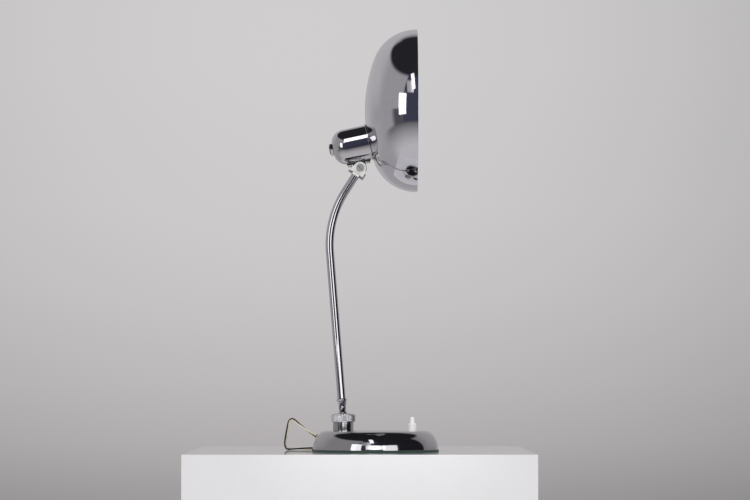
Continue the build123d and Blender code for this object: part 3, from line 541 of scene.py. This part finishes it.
def feed(shader, **signals):
    """Link signals, or set numbers, on the Principled shader. Names use _ for a space."""
    for key, value in signals.items():
        socket = shader.inputs[key.replace("_", " ")]
        if isinstance(value, Signal):
            value.tree.links.new(value.socket, socket)
        else:
            socket.default_value = value


def noise(start, place, scale, detail=4.0):
    """Soft noise at a scale, with more or fewer octaves of detail."""
    inputs = {"Vector": place, "Scale": scale, "Detail": detail, "Roughness": 0.55}
    return start.node("ShaderNodeTexNoise", None, inputs)


def stretched(start, place, scale):
    """Coordinates scaled differently along each axis, for streaks."""
    inputs = {"Vector": place, "Scale": scale}
    return start.node("ShaderNodeMapping", None, inputs)


def bump(start, height, strength, distance):
    """A normal that makes a height pattern look raised by up to a distance."""
    inputs = {"Height": height, "Strength": strength, "Distance": distance}
    return start.node("ShaderNodeBump", None, inputs)


print("finish helpers ready")

# %% [markdown]
# Chrome plate is a mirror that has lived: faint cloudy stains, fine wipe marks, and specks where
# the plate has pitted. A flat metallic colour looks like plastic, so roughness is varied at three
# scales and a very low bump is added. All the metals are this one recipe with different numbers.
# The bright chrome is the smoothest. The knurled nut and the fork's cheeks are the roughest, and
# the cheeks, whose pale colour is partly a painted highlight, are hardly metallic any more.

# %% Metals


def plated(name, colour, stain, rough, marks, pits, metal=1.0):
    """Plate: colour, stain, mean roughness, how marked and pitted it is, and how metallic."""
    finish, shader, start, place = new_finish(name)
    cloud = noise(start, place, 38.0).between(0.42, 0.72)
    wipe = noise(start, stretched(start, place, (900.0, 900.0, 90.0)), 1.0, 3.0).between(0.45, 0.8)
    cells = start.node("ShaderNodeTexVoronoi", None, {"Vector": place, "Scale": 420.0})
    rare = noise(start, place, 60.0, 2.0).between(0.56, 0.66)
    pit = (1.0 - cells.between(0.05, 0.16)) * rare * pits
    body = (cloud * 0.55).tint(colour, stain)
    base = pit.tint(body, (0.10, 0.085, 0.075))
    rough_signal = cloud * (0.5 * marks) + wipe * (0.6 * marks) + pit * 0.4 + rough
    relief = bump(start, noise(start, place, 260.0, 2.0) - pit * 2.0, 0.06, 0.02 * MM)
    feed(shader, Base_Color=base, Metallic=metal, Roughness=rough_signal, Normal=relief)
    return finish


chrome = plated("chrome_plate", (0.62, 0.61, 0.64), (0.54, 0.53, 0.54), 0.030, 0.040, 0.8)
# The foot and the collar get a darker copy of the chrome: painted shade for the dim room low down.
foot_chrome_painted_shade = plated("foot_chrome_painted_shade", (0.45, 0.44, 0.46), (0.38, 0.37, 0.38), 0.035, 0.090, 0.9)
knurl_chrome = plated("knurl_chrome", (0.80, 0.79, 0.81), (0.68, 0.67, 0.68), 0.36, 0.080, 0.6)
shade_chrome = plated("shade_chrome", (0.69, 0.68, 0.725), (0.64, 0.63, 0.66), 0.040, 0.045, 0.5)
nickel = plated("nickel_plate", (0.83, 0.81, 0.75), (0.70, 0.66, 0.57), 0.22, 0.08, 0.5)
# The fork's cheeks: a pale plate that is partly its own colour and partly a painted highlight.
pale_plate_painted_highlight = plated("pale_plate_painted_highlight", (0.95, 0.94, 0.90), (0.88, 0.86, 0.80), 0.36, 0.06, 0.5, 0.1)
screw_zinc = plated("screw_zinc", (0.56, 0.58, 0.55), (0.32, 0.34, 0.31), 0.26, 0.12, 0.8, 0.5)
# A darker copy of the nickel as painted shade, for the fork's base and cut edges and the lug.
nickel_painted_shade = plated("nickel_painted_shade", (0.42, 0.41, 0.39), (0.27, 0.26, 0.24), 0.14, 0.10, 0.9)
dark_brass = plated("dark_brass", (0.24, 0.19, 0.12), (0.12, 0.09, 0.06), 0.24, 0.16, 1.0)
zinc = plated("zinc_steel", (0.60, 0.60, 0.58), (0.44, 0.43, 0.40), 0.30, 0.16, 1.0)
brass = plated("brass", (0.72, 0.53, 0.26), (0.46, 0.31, 0.14), 0.22, 0.16, 1.0)
cap_metal = plated("cap_metal", (0.78, 0.77, 0.74), (0.62, 0.61, 0.58), 0.18, 0.14, 0.4)
print("metals", len(bpy.data.materials))

# %% [markdown]
# The rest is enamel, porcelain, plastic, fibre, cast iron, glass, felt and the two strands. Each
# gets the unevenness that the real material has: orange peel in the sprayed enamel, a fine grain in
# moulded plastic, and a tangle of fibres in the felt.

# %% Other finishes


def coated(name, colour, worn, rough, grain_scale, grain_height, coat=0.0):
    """A non-metal: colour, worn colour, roughness, the size and height of its grain, and a coat."""
    finish, shader, start, place = new_finish(name)
    cloud = noise(start, place, 55.0).between(0.4, 0.75)
    grain = noise(start, place, grain_scale, 3.0)
    relief = bump(start, grain, 0.5, grain_height)
    feed(shader, Base_Color=cloud.tint(colour, worn), Roughness=cloud * 0.08 + grain * 0.06 + rough)
    feed(shader, Normal=relief, Coat_Weight=coat, Coat_Roughness=0.08)
    return finish


def felt_finish(name):
    """Pressed felt: two greens mixed by fibres that lie both ways, with a soft sheen."""
    finish, shader, start, place = new_finish(name)
    long_fibre = noise(start, stretched(start, place, (700.0, 2600.0, 2600.0)), 1.0, 3.0)
    cross_fibre = noise(start, stretched(start, place, (2600.0, 700.0, 2600.0)), 1.0, 3.0)
    fibres = (long_fibre + cross_fibre) * 0.5
    colour = fibres.between(0.36, 0.66).tint((0.009, 0.028, 0.020), (0.038, 0.092, 0.068))
    relief = bump(start, fibres, 0.9, 0.25 * MM)
    feed(shader, Base_Color=colour, Roughness=0.95, Normal=relief)
    feed(shader, Sheen_Weight=0.10, Sheen_Roughness=0.5)
    return finish


def glass_finish(name):
    """Opal glass: milky white with a clear, glossy skin."""
    finish, shader, start, place = new_finish(name)
    milk = noise(start, place, 70.0, 2.0).between(0.35, 0.7)
    colour = milk.tint((0.80, 0.79, 0.76), (0.84, 0.83, 0.80))
    dust = noise(start, place, 900.0, 2.0).between(0.55, 0.8)
    feed(shader, Base_Color=colour, Roughness=dust * 0.10 + 0.10, Coat_Weight=0.6)
    feed(shader, Coat_Roughness=0.04)
    return finish


enamel = coated(
    "white_enamel", (0.80, 0.78, 0.74), (0.77, 0.745, 0.69), 0.24, 420.0, 0.05 * MM, 0.35
)
porcelain = coated(
    "porcelain", (0.78, 0.76, 0.71), (0.70, 0.67, 0.60), 0.16, 200.0, 0.05 * MM, 0.5
)
white_plastic = coated(
    "white_plastic", (0.97, 0.96, 0.95), (0.94, 0.92, 0.90), 0.30, 900.0, 0.03 * MM
)
black_plastic = coated(
    "black_plastic", (0.016, 0.016, 0.017), (0.030, 0.029, 0.028), 0.36, 1500.0, 0.06 * MM
)
fibre = coated("fibre", (0.23, 0.10, 0.055), (0.15, 0.065, 0.04), 0.6, 1200.0, 0.08 * MM)
iron = coated("cast_iron", (0.075, 0.073, 0.070), (0.12, 0.075, 0.05), 0.72, 520.0, 0.30 * MM)
black_strand = coated(
    "black_strand", (0.014, 0.013, 0.013), (0.028, 0.025, 0.023), 0.38, 700.0, 0.05 * MM
)
cream_strand = coated(
    "cream_strand", (0.74, 0.67, 0.53), (0.60, 0.52, 0.38), 0.40, 700.0, 0.05 * MM
)
felt = felt_finish("green_felt")
opal = glass_finish("opal_glass")
print("finishes", len(bpy.data.materials))

# %% [markdown]
# The plinth under the lamp is lacquered and glossy: at the camera's low angle its top works as a
# mirror, with a blurred image of the foot in it. It belongs to the stage, not to the lamp.

# %% Plinth
plinth_low = Vector((-0.2225, -0.160, -0.60))
plinth_high = Vector((0.1865, 0.30, 0.0))
plinth_shape = bmesh.new()
bmesh.ops.create_cube(plinth_shape, size=1)
plinth_size = plinth_high - plinth_low
bmesh.ops.scale(plinth_shape, vec=plinth_size, verts=plinth_shape.verts)
bmesh.ops.translate(plinth_shape, vec=(plinth_low + plinth_high) / 2, verts=plinth_shape.verts)
bmesh.ops.bevel(
    plinth_shape, geom=plinth_shape.edges[:], offset=0.8 * MM, offset_type="OFFSET",
    affect="EDGES", segments=3, profile=0.5, material=-1,
)
plinth = piece_from("plinth", plinth_shape, smooth=False)
plinth.data.materials.append(
    coated("lacquer", (0.82, 0.81, 0.82), (0.81, 0.80, 0.81), 0.05, 60.0, 0.002 * MM, 0.8)
)
print("plinth size", tuple(round(value, 3) for value in plinth_size))

# %% [markdown]
# ## Turned pieces
#
# Most of the lamp is round: foot, column, nut, stem, housing, shade and bulb. On a lathe they are
# cut from an outline, and here the outline is spun the same way. Straight runs are edges between
# points, and arcs are one vertex spun about the arc's centre, so they have the true radius.

# %% Helpers for turned pieces
turning_steps = 128


def placed(foot, direction):
    """The matrix that stands an upright piece on a point in millimetres and tilts its axis."""
    turn = Vector((0, 0, 1)).rotation_difference(Vector(direction)).to_matrix().to_4x4()
    return Matrix.Translation(Vector(foot) * MM) @ turn


class Outline:
    """Half of a turned piece's section: x is the radius and z the height, in millimetres."""

    def __init__(self):
        self.shape = bmesh.new()

    def run(self, *points):
        """Straight runs through points."""
        spots = [self.shape.verts.new((r * MM, 0, h * MM)) for r, h in points]
        for first, second in zip(spots, spots[1:]):
            self.shape.edges.new((first, second))
        return self

    def arc(self, centre, start, sweep, steps, squash=1.0):
        """An arc about a centre, anticlockwise for a positive sweep in degrees."""
        middle = Vector((centre[0], 0, centre[1])) * MM
        before = set(self.shape.verts)
        seed = self.shape.verts.new((start[0] * MM, 0, start[1] * MM))
        bmesh.ops.spin(
            self.shape, geom=[seed], cent=middle, axis=(0, -1, 0),
            angle=math.radians(sweep), steps=steps,
        )
        made = [vertex for vertex in self.shape.verts if vertex not in before]
        about = Matrix.Translation(-middle)
        bmesh.ops.scale(self.shape, vec=(1, 1, squash), space=about, verts=made)
        return self

    def thread(self, root, crest, foot, pitch, turns, flank):
        """Ridges between two radii. flank is the part of a pitch that their lower sides take."""
        for index in range(turns):
            low = foot + index * pitch
            self.run(
                (root, low), (crest, low + pitch * flank), (crest, low + pitch * 0.6),
                (root, low + pitch),
            )
        return self

    def turned(self, name, foot=(0, 0, 0), direction=(0, 0, 1), steps=turning_steps):
        """Spin the outline round its own axis and put the piece in its place."""
        shape = self.shape
        bmesh.ops.remove_doubles(shape, verts=shape.verts, dist=0.02 * MM)
        bmesh.ops.spin(
            shape, geom=shape.verts[:] + shape.edges[:], cent=(0, 0, 0), axis=(0, 0, 1),
            angle=2 * math.pi, steps=steps, use_merge=True,
        )
        bmesh.ops.remove_doubles(shape, verts=shape.verts, dist=0.002 * MM)
        bmesh.ops.recalc_face_normals(shape, faces=shape.faces)
        bmesh.ops.transform(shape, matrix=placed(foot, direction), verts=shape.verts)
        return piece_from(name, shape)


def circle_of(shape, radius, sides, place):
    """Add a circle, put it in the place that a matrix gives, and return its edges."""
    spots = bmesh.ops.create_circle(shape, segments=sides, radius=radius * MM)["verts"]
    bmesh.ops.transform(shape, matrix=place, verts=spots)
    return list({edge for spot in spots for edge in spot.link_edges})


def extruded(shape, edges):
    """Extrude a ring of edges in place. Gives the new ring's edges and its vertices."""
    made = bmesh.ops.extrude_edge_only(shape, edges=edges)["geom"]
    ring = [item for item in made if isinstance(item, bmesh.types.BMEdge)]
    return ring, [item for item in made if isinstance(item, bmesh.types.BMVert)]


def soften(piece, width, angle=35, segments=3):
    """Round the piece's sharp edges a little, and keep its large faces' shading true."""
    rounding = piece.modifiers.new("rounding", "BEVEL")
    rounding.width = width * MM
    rounding.segments = segments
    rounding.limit_method = "ANGLE"
    rounding.angle_limit = math.radians(angle)
    rounding.harden_normals = True
    return piece


def dress(piece, finishes, body, slot, *nodes):
    """Give a piece its finishes, the body it rides on, and the nodes it stands for; slot is not
    used.
    """
    for finish in finishes:
        piece.data.materials.append(finish)
    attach(piece, body)
    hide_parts(*nodes)
    return piece


print("turning steps", turning_steps)

# %% [markdown]
# The foot's shell is a shallow dome with a flat top and an edge of a quarter ellipse, which is a
# circle's arc squashed in height. Its polish would show every facet, so it is turned in many small
# steps. Under it a pad of felt shows as a thin dark line.

# %% Foot
base_radius = 75.4
base_height = 24.8
edge_run = 16.6
flat_radius = base_radius - edge_run
felt_height = 2.5
felt_radius = 75.9
shell_bore = 74.2
shell_floor = 4.1
shell_edge = Outline().run((0, base_height), (flat_radius, base_height))
shell_edge.arc(
    (flat_radius, felt_height), (base_radius, felt_height), 90, 28,
    squash=(base_height - felt_height) / edge_run,
)
shell_edge.run(
    (base_radius, felt_height), (shell_bore, felt_height), (shell_bore, shell_floor),
    (0, shell_floor),
)
foot = shell_edge.turned("foot_shell", steps=192)
soften(foot, 0.25)
dress(foot, [foot_chrome_painted_shade], "base", "chrome_plate", "base_shell")

pad = Outline().run((0, 0), (felt_radius, 0), (felt_radius, felt_height), (0, felt_height))
pad = soften(pad.turned("felt_disc", steps=160), 0.7)
dress(pad, [felt], "base", "green_felt", "felt_pad")
print("foot", [round(value, 4) for value in foot.dimensions])

# %% [markdown]
# The ball joint starts with a plain collar that stands on the foot and holds the ball. The stem
# grows out of the ball with a slim waist, and has a bead where the tube starts. The collar is
# turned about an upright axis, and the ball and the stem about the leaning one of the arm, so the
# joint's pieces stay apart and can move.

# %% Ball joint
column_x = -38.5
lean = math.radians(4.58)
lower_direction = Vector((-math.sin(lean), 0, math.cos(lean)))
ball_radius = 10.0
ball_centre = Vector((column_x, 0, 38.4))

collar_radius = 12.4
collar_top = 35.1
column_thread_radius = 12.0
column_top = 42.9
cup_radius = 10.3
cup_floor = 26.3
collar = Outline().run(
    (0, base_height), (collar_radius, base_height), (collar_radius, collar_top),
    (column_thread_radius, collar_top), (column_thread_radius, column_top),
    (cup_radius, column_top), (cup_radius, cup_floor), (0, cup_floor),
)
collar = soften(collar.turned("column_collar", foot=(column_x, 0, 0), steps=96), 0.35)
dress(collar, [foot_chrome_painted_shade], "base", "chrome_plate", "column")

ball_top = 9.05
ball_foot = -7.66
ball_skin = Outline().arc((0, 0), (ball_radius, 0), 64.8, 14)
ball_skin.run((4.26, ball_top), (0, ball_top))
ball_skin.arc((0, 0), (ball_radius, 0), -50, 10).run((6.43, ball_foot), (0, ball_foot))
ball_piece = ball_skin.turned("ball_skin", foot=ball_centre, direction=lower_direction, steps=96)
dress(ball_piece, [chrome], "ball", "chrome_plate", "ball")

bore_radius = 3.95
stem_tail = -4.0
stem_neck_radius = 4.15
stem_top_radius = 5.3
taper_end = 21.4
bead_middle = (4.396, 23.3)
tube_foot = 25.2
spigot_top = 37.0
stem = Outline().run(
    (bore_radius, stem_tail), (bore_radius, ball_top), (stem_neck_radius, ball_top),
    (stem_top_radius, taper_end),
)
stem.arc(bead_middle, (stem_top_radius, taper_end), 129.1, 12)
stem.run((stem_top_radius, tube_foot), (bore_radius, tube_foot), (bore_radius, spigot_top))
stem_piece = stem.turned("stem_skin", foot=ball_centre, direction=lower_direction, steps=96)
dress(stem_piece, [chrome], "arm", "chrome_plate", "ball_stem")
print("stem", [round(value, 4) for value in stem_piece.dimensions])

# %% [markdown]
# A nut closes over the ball, and its side is knurled, so that fingers can turn it. The fine grooves
# could be cut out one by one, but that takes thousands of faces. Here the nut is a pile of rings
# that are extruded from each other, and every other vertex of the second and the third is pulled
# inwards, which costs no extra faces.

# %% Knurled nut
nut_radius = 14.5
nut_foot = 35.4
nut_top = 45.6
knurl_low = 36.3
knurl_high = 43.5
knurl_count = 60
knurl_depth = 0.3
knurl_slope = 0.25
opening_radius = 7.15
nut_rings = (  # height, radius, and how deep the grooves are
    (knurl_low, nut_radius, 0.0),
    (knurl_low + knurl_slope, nut_radius, knurl_depth),
    (knurl_high - knurl_slope, nut_radius, knurl_depth),
    (knurl_high, nut_radius, 0.0),
    (44.4, nut_radius, 0.0),
    (nut_top, nut_radius - 3.5, 0.0),
    (nut_top, opening_radius, 0.0),
    (nut_top - 1.6, opening_radius + 0.6, 0.0),
)

nut_shape = bmesh.new()
nut_place = Matrix.Translation((0, 0, nut_foot * MM))
edges = circle_of(nut_shape, nut_radius, knurl_count * 2, nut_place)
for height, radius, groove in nut_rings:
    edges, spots = extruded(nut_shape, edges)
    spots.sort(key=lambda spot: math.atan2(spot.co.y, spot.co.x))
    for index, spot in enumerate(spots):
        reach = radius - (groove if index % 2 == 0 else 0.0)
        flat = Vector((spot.co.x, spot.co.y, 0)).normalized() * reach * MM
        spot.co = (flat.x, flat.y, height * MM)
bmesh.ops.recalc_face_normals(nut_shape, faces=nut_shape.faces)
bmesh.ops.translate(nut_shape, vec=(column_x * MM, 0, 0), verts=nut_shape.verts)
nut = piece_from("knurled_nut", nut_shape, smooth=False)
dress(nut, [knurl_chrome], "clamp_nut", "chrome_plate", "clamp_nut")
print("nut faces", len(nut.data.polygons))

# %% [markdown]
# The arm is one tube with a single wide bend. A circle is extruded along the lower run, spun about
# the bend's centre, and extruded again, exactly as a tube bender does it.

# %% Arm
tube_radius = 5.0
lower_run = 240.6
upper_run = 73.0
bend_radius = 119.0
fork_gap = 10.7  # from the tube's upper end to the pivot
upper_angle = math.radians(32.63)
upper_direction = Vector((math.sin(upper_angle), 0, math.cos(upper_angle)))
bend_corner = ball_centre + lower_direction * lower_run
pivot = bend_corner + upper_direction * upper_run
bend_turn = lean + upper_angle
bend_reach = bend_radius * math.tan(bend_turn / 2)
tube_start = ball_centre + lower_direction * tube_foot
tube_end = pivot - upper_direction * fork_gap
bend_start = bend_corner - lower_direction * bend_reach
bend_end = bend_corner + upper_direction * bend_reach
bend_centre = bend_start + Vector((lower_direction.z, 0, -lower_direction.x)) * bend_radius

arm_shape = bmesh.new()
ring = circle_of(arm_shape, tube_radius, 64, placed(tube_start, lower_direction))


def pushed(edges, vector):
    """Extrude a ring of edges and move the new ring."""
    ring, spots = extruded(arm_shape, edges)
    bmesh.ops.translate(arm_shape, vec=vector * MM, verts=spots)
    return ring


ring = pushed(ring, bend_start - tube_start)
spun = bmesh.ops.spin(
    arm_shape, geom=ring, cent=bend_centre * MM, axis=(0, 1, 0), angle=bend_turn, steps=40,
)
ring = [item for item in spun["geom_last"] if isinstance(item, bmesh.types.BMEdge)]
ring = pushed(ring, tube_end - bend_end)
bmesh.ops.remove_doubles(arm_shape, verts=arm_shape.verts, dist=0.002 * MM)
bmesh.ops.recalc_face_normals(arm_shape, faces=arm_shape.faces)
arm = piece_from("arm_skin", arm_shape)
dress(arm, [chrome], "arm", "chrome_plate", "arm_tube")
print("pivot", tuple(round(value, 2) for value in pivot), "bend", round(math.degrees(bend_turn), 1))

# %% [markdown]
# ## Head
#
# The housing of the lamp holder is a cup with a well rounded end and a small rim, which sits square
# on the shade's crown. How far the head points upwards follows from the crown's curve and from how
# far out the shade ring touches it on the inside. The cup's outline runs along the outside and back
# along the inside, so one turning gives the whole wall.

# %% Housing
crown_radius = 178.0
shoulder_radius = 53.5
shade_radius = 97.6
shade_wall = 1.0
ring_reach = 26.2
pivot_drop = 28.6
pivot_setback = 16.2
shoulder_run = shade_radius - shoulder_radius
joint = math.asin(shoulder_run / (crown_radius - shoulder_radius))
head_pitch = joint - math.asin(ring_reach / (crown_radius - shade_wall))
head_direction = Vector((math.cos(head_pitch), 0, math.sin(head_pitch)))
head_up = Vector((-math.sin(head_pitch), 0, math.cos(head_pitch)))
crown_point = pivot + head_up * pivot_drop + head_direction * pivot_setback
crown_centre = crown_point + head_direction * crown_radius
crown_apex = crown_centre - Vector((crown_radius, 0, 0))

housing_radius = 21.0
housing_bore = 20.1
housing_wall = 0.9
housing_length = 44.6
housing_round = 15.4
round_middle = 5.6
rim_radius = 22.3
rim_thickness = 1.1
nipple_hole = 5.05
face_gap = 0.05
rim_face = crown_radius - math.sqrt(crown_radius**2 - housing_bore**2) - face_gap
rim_back = rim_face - rim_thickness
housing_end = rim_face - housing_length
round_end = housing_end + housing_round
inner_end = housing_end + housing_wall

cup = Outline().run((nipple_hole, housing_end), (round_middle, housing_end))
cup.arc((round_middle, round_end), (round_middle, housing_end), 90, 24)
cup.run(
    (housing_radius, round_end), (housing_radius, rim_back), (rim_radius, rim_back),
    (rim_radius, rim_face), (housing_bore, rim_face), (housing_bore, round_end),
)
cup.arc((round_middle, round_end), (housing_bore, round_end), -90, 24)
cup.run((round_middle, inner_end), (nipple_hole, inner_end), (nipple_hole, housing_end))
housing = soften(cup.turned("housing_skin", foot=crown_point, direction=head_direction), 0.22)
dress(housing, [chrome], "head", "chrome_plate", "housing")
print("head pitch", round(math.degrees(head_pitch), 2), "degrees")

# %% [markdown]
# The shade is a spun dish: a shallow crown, a rounded shoulder and a short straight lip. It could
# be pressed out of a disc, as in the workshop, but two arcs and a short run give the true curves at
# once. Outside it is chromed and inside it is white enamel, so its faces are sorted by the way they
# look.

# %% Shade
lip = 1.4
middles_apart = math.sqrt((crown_radius - shoulder_radius) ** 2 - shoulder_run**2)
shade_depth = lip + crown_radius - middles_apart
shoulder_height = shade_depth - lip
inner_radius = shade_radius - shade_wall
joint_degrees = math.degrees(joint)
axis_share = 0.35  # lets faces that look along the shade's axis be sorted too

dish = Outline().arc((0, crown_radius), (0, 0), joint_degrees, 40)
joint_point = (crown_radius * math.sin(joint), crown_radius * (1 - math.cos(joint)))
dish.arc((shoulder_run, shoulder_height), joint_point, 90 - joint_degrees, 40)
dish.run(
    (shade_radius, shoulder_height), (shade_radius, shade_depth), (inner_radius, shade_depth),
    (inner_radius, shoulder_height),
)
dish.arc((shoulder_run, shoulder_height), (inner_radius, shoulder_height), joint_degrees - 90, 40)
dish.arc((0, crown_radius), (0, shade_wall), joint_degrees, 40)
shade = dish.turned("shade_skin", foot=crown_apex, direction=(1, 0, 0), steps=224)
for face in shade.data.polygons:
    outward = face.center / MM - crown_apex
    outward.x = 0
    facing = face.normal.dot(outward.normalized() - Vector((axis_share, 0, 0)))
    face.material_index = 0 if facing > 0 else 1
soften(shade, 0.25)
dress(shade, [shade_chrome, enamel], "head", "shade_metal", "shade")
print("shade depth", round(shade_depth, 2), "apex", tuple(round(value, 2) for value in crown_apex))

# %% [markdown]
# The bulb sits in a threaded cap. Its thread is a round wave, so the cap is turned from an outline
# with a ridge for each turn, which reads the same as a helix at this size.

# %% Bulb
holder_front = 9.6
socket_depth = 25.5
contact_height = 1.25
bulb_length = 72.0
bulb_radius = 22.5
tip_length = 3.4
tip_radius = 4.6
cap_length = 23.0
cap_root = 12.2
cap_crest = 13.1
cap_collar = 1.5
ridge_count = 6
ridge_rise = 3.0

bulb_foot = holder_front - socket_depth + contact_height
cap_foot = bulb_foot + tip_length
cap_top = cap_foot + cap_length
ridges_foot = cap_foot + 1.0
ridges_top = ridges_foot + ridge_count * ridge_rise
glass_centre = bulb_foot + bulb_length - bulb_radius

cap = Outline().run(
    (0, bulb_foot), (tip_radius, bulb_foot), (cap_root, cap_foot), (cap_root, ridges_foot)
)
cap.thread(cap_root, cap_crest, ridges_foot, ridge_rise, ridge_count, 0.35)
cap.run(
    (cap_root, ridges_top), (cap_crest, cap_top - cap_collar), (cap_crest, cap_top), (0, cap_top)
)
cap = soften(cap.turned("cap_skin", foot=crown_point, direction=head_direction, steps=72), 0.4, 20)
dress(cap, [cap_metal], "head", "bulb_metal", "bulb_cap")

neck = 12.55
neck_foot = cap_top - 6
bowl_angle = 28.0
bowl_turn = math.radians(bowl_angle)
bowl_start = (
    bulb_radius * math.cos(bowl_turn), glass_centre - bulb_radius * math.sin(bowl_turn)
)
globe = Outline().run((0, neck_foot), (neck, neck_foot), (neck, cap_top), bowl_start)
globe.arc((0, glass_centre), bowl_start, 90 + bowl_angle, 40)
globe = soften(globe.turned("globe", foot=crown_point, direction=head_direction, steps=96), 1.2, 20)
dress(globe, [opal], "head", "opal_glass", "bulb_glass")
print("bulb from", round(bulb_foot, 2), "to", round(bulb_foot + bulb_length, 2))

# %% [markdown]
# ## Switch
#
# The switch shows as a white threaded sleeve with a slimmer white button in it. The thread is a
# fine zigzag of one millimetre pitch in the outline. At this size nobody can tell it from a helix.

# %% Switch
switch_foot = (44.2, 0, 0)
sleeve_top = base_height + 8.8
sleeve_bore = 2.8
recess = sleeve_top - 2.0
thread_low = base_height - 1.0
thread_turns = 9
thread_root = 4.5
sleeve = Outline().run((0, thread_low), (thread_root, thread_low))
sleeve.thread(thread_root, 4.85, thread_low, 1.0, thread_turns, 0.4)
sleeve.run(
    (thread_root, thread_low + thread_turns), (4.6, sleeve_top - 0.4), (4.25, sleeve_top),
    (sleeve_bore, sleeve_top), (sleeve_bore, recess), (0, recess),
)
sleeve = sleeve.turned("switch_sleeve", foot=switch_foot, steps=64)
dress(sleeve, [white_plastic], "base", "switch_white", "switch_body")

button_radius = 2.5
button_top = sleeve_top + 7.6
button_foot = sleeve_top - 4
button = Outline().run(
    (0, button_foot), (button_radius, button_foot), (button_radius, button_top), (0, button_top)
)
button = soften(button.turned("switch_button", foot=switch_foot, steps=64), 0.8, 35, 5)
dress(button, [white_plastic], "plunger", "switch_white", "switch_plunger")
print("button top", round(button_top, 2))

# %% [markdown]
# ## Machined pieces
#
# Fork, lug, screws, nuts and the plug keep the shape of their solids. A copy of each solid's mesh
# is merged, its flat faces are joined again, and a small bevel breaks its edges, because no real
# edge is perfectly sharp and the highlight on it is what the eye reads as metal. The fork's flat
# cheeks are painted pale, partly with a painted highlight, and its bent base and cut edges, like
# the lug under the housing, get a darker nickel as painted shade.

# %% Copies with softened edges


def softened_copy(node, width):
    """A cleaned copy of a node's mesh with rounded edges, ready to be dressed."""
    source = frame["nodes"][node]
    shape = bmesh.new()
    shape.from_mesh(source.data)
    bmesh.ops.remove_doubles(shape, verts=shape.verts, dist=0.002 * MM)
    bmesh.ops.dissolve_limit(
        shape, angle_limit=math.radians(0.6), verts=shape.verts, edges=shape.edges,
        use_dissolve_boundaries=False,
    )
    piece = soften(piece_from(node + "_soft", shape), width, angle=30)
    levelling = piece.modifiers.new("flat_faces", "WEIGHTED_NORMAL")
    levelling.weight = 90
    return piece


machined = {
    "fork": (0.35, pale_plate_painted_highlight, "arm", "nickel_plate"),
    "tilt_lug": (0.3, nickel_painted_shade, "head", "nickel_plate"),
    "lug_screws": (0.3, nickel, "head", "nickel_plate"),
    "tilt_screw": (0.2, screw_zinc, "arm", "nickel_plate"),
    "tilt_nut": (0.3, nickel, "arm", "nickel_plate"),
    "spring_washer": (0.2, zinc, "arm", "zinc_steel"),
    "nipple": (0.25, dark_brass, "head", "brass"),
    "nipple_nut": (0.3, chrome, "head", "nickel_plate"),
    "cord_bush": (0.2, black_plastic, "base", "black_plastic"),
    "plug_body": (0.6, black_plastic, "base", "black_plastic"),
    "plug_pins": (0.15, nickel, "base", "nickel_plate"),
    "shade_ring": (0.5, porcelain, "head", "porcelain"),
    "holder_body": (0.4, porcelain, "head", "porcelain"),
}
for node, (width, finish, body, slot_name) in machined.items():
    piece = softened_copy(node, width)
    dress(piece, [finish], body, slot_name, node)
    # Flat sides facing the camera get the painted highlight, all other faces the painted shade.
    if node == "fork":
        piece.data.materials.append(nickel_painted_shade)
        piece.modifiers["rounding"].material = 1
        for face in piece.data.polygons:
            face.material_index = 0 if abs(face.normal.y) > 0.9 else 1
print("softened", len(machined), "pieces")

# %% [markdown]
# What is left of the solids is inside the lamp or under it. Each still gets its finish, since the
# lamp may be looked at from below or taken apart.

# %% Finishes of the solids that stay
slot_finish = {
    "green_felt": felt, "zinc_steel": zinc, "cast_iron": iron, "chrome_plate": chrome,
    "shade_metal": shade_chrome, "nickel_plate": nickel, "fibre": fibre, "brass": brass,
    "porcelain": porcelain, "bulb_metal": cap_metal, "opal_glass": opal,
    "switch_white": white_plastic, "black_plastic": black_plastic, "cord": black_strand,
}
node_slot = {item["node"]: item["material_slot"] for item in frame["record"]["subparts"]}
for node, solid in frame["nodes"].items():
    finish = slot_finish[node_slot[node]]
    for index in range(len(solid.material_slots)):
        solid.material_slots[index].material = finish
print("dressed", len(frame["nodes"]), "solids")

# %% [markdown]
# The cord is dressed last, when its plug exists: it gets its two strands' finishes and rides on
# the base, and the cord's solids are hidden.

dress(cord, [black_strand, cream_strand], "base", "cord", "cord_free", "cord_coil", "cord_tail")

# %% [markdown]
# The view transform stays Standard, so colours come out as they are written.

# %% Finish
bpy.context.scene.view_settings.view_transform = "Standard"
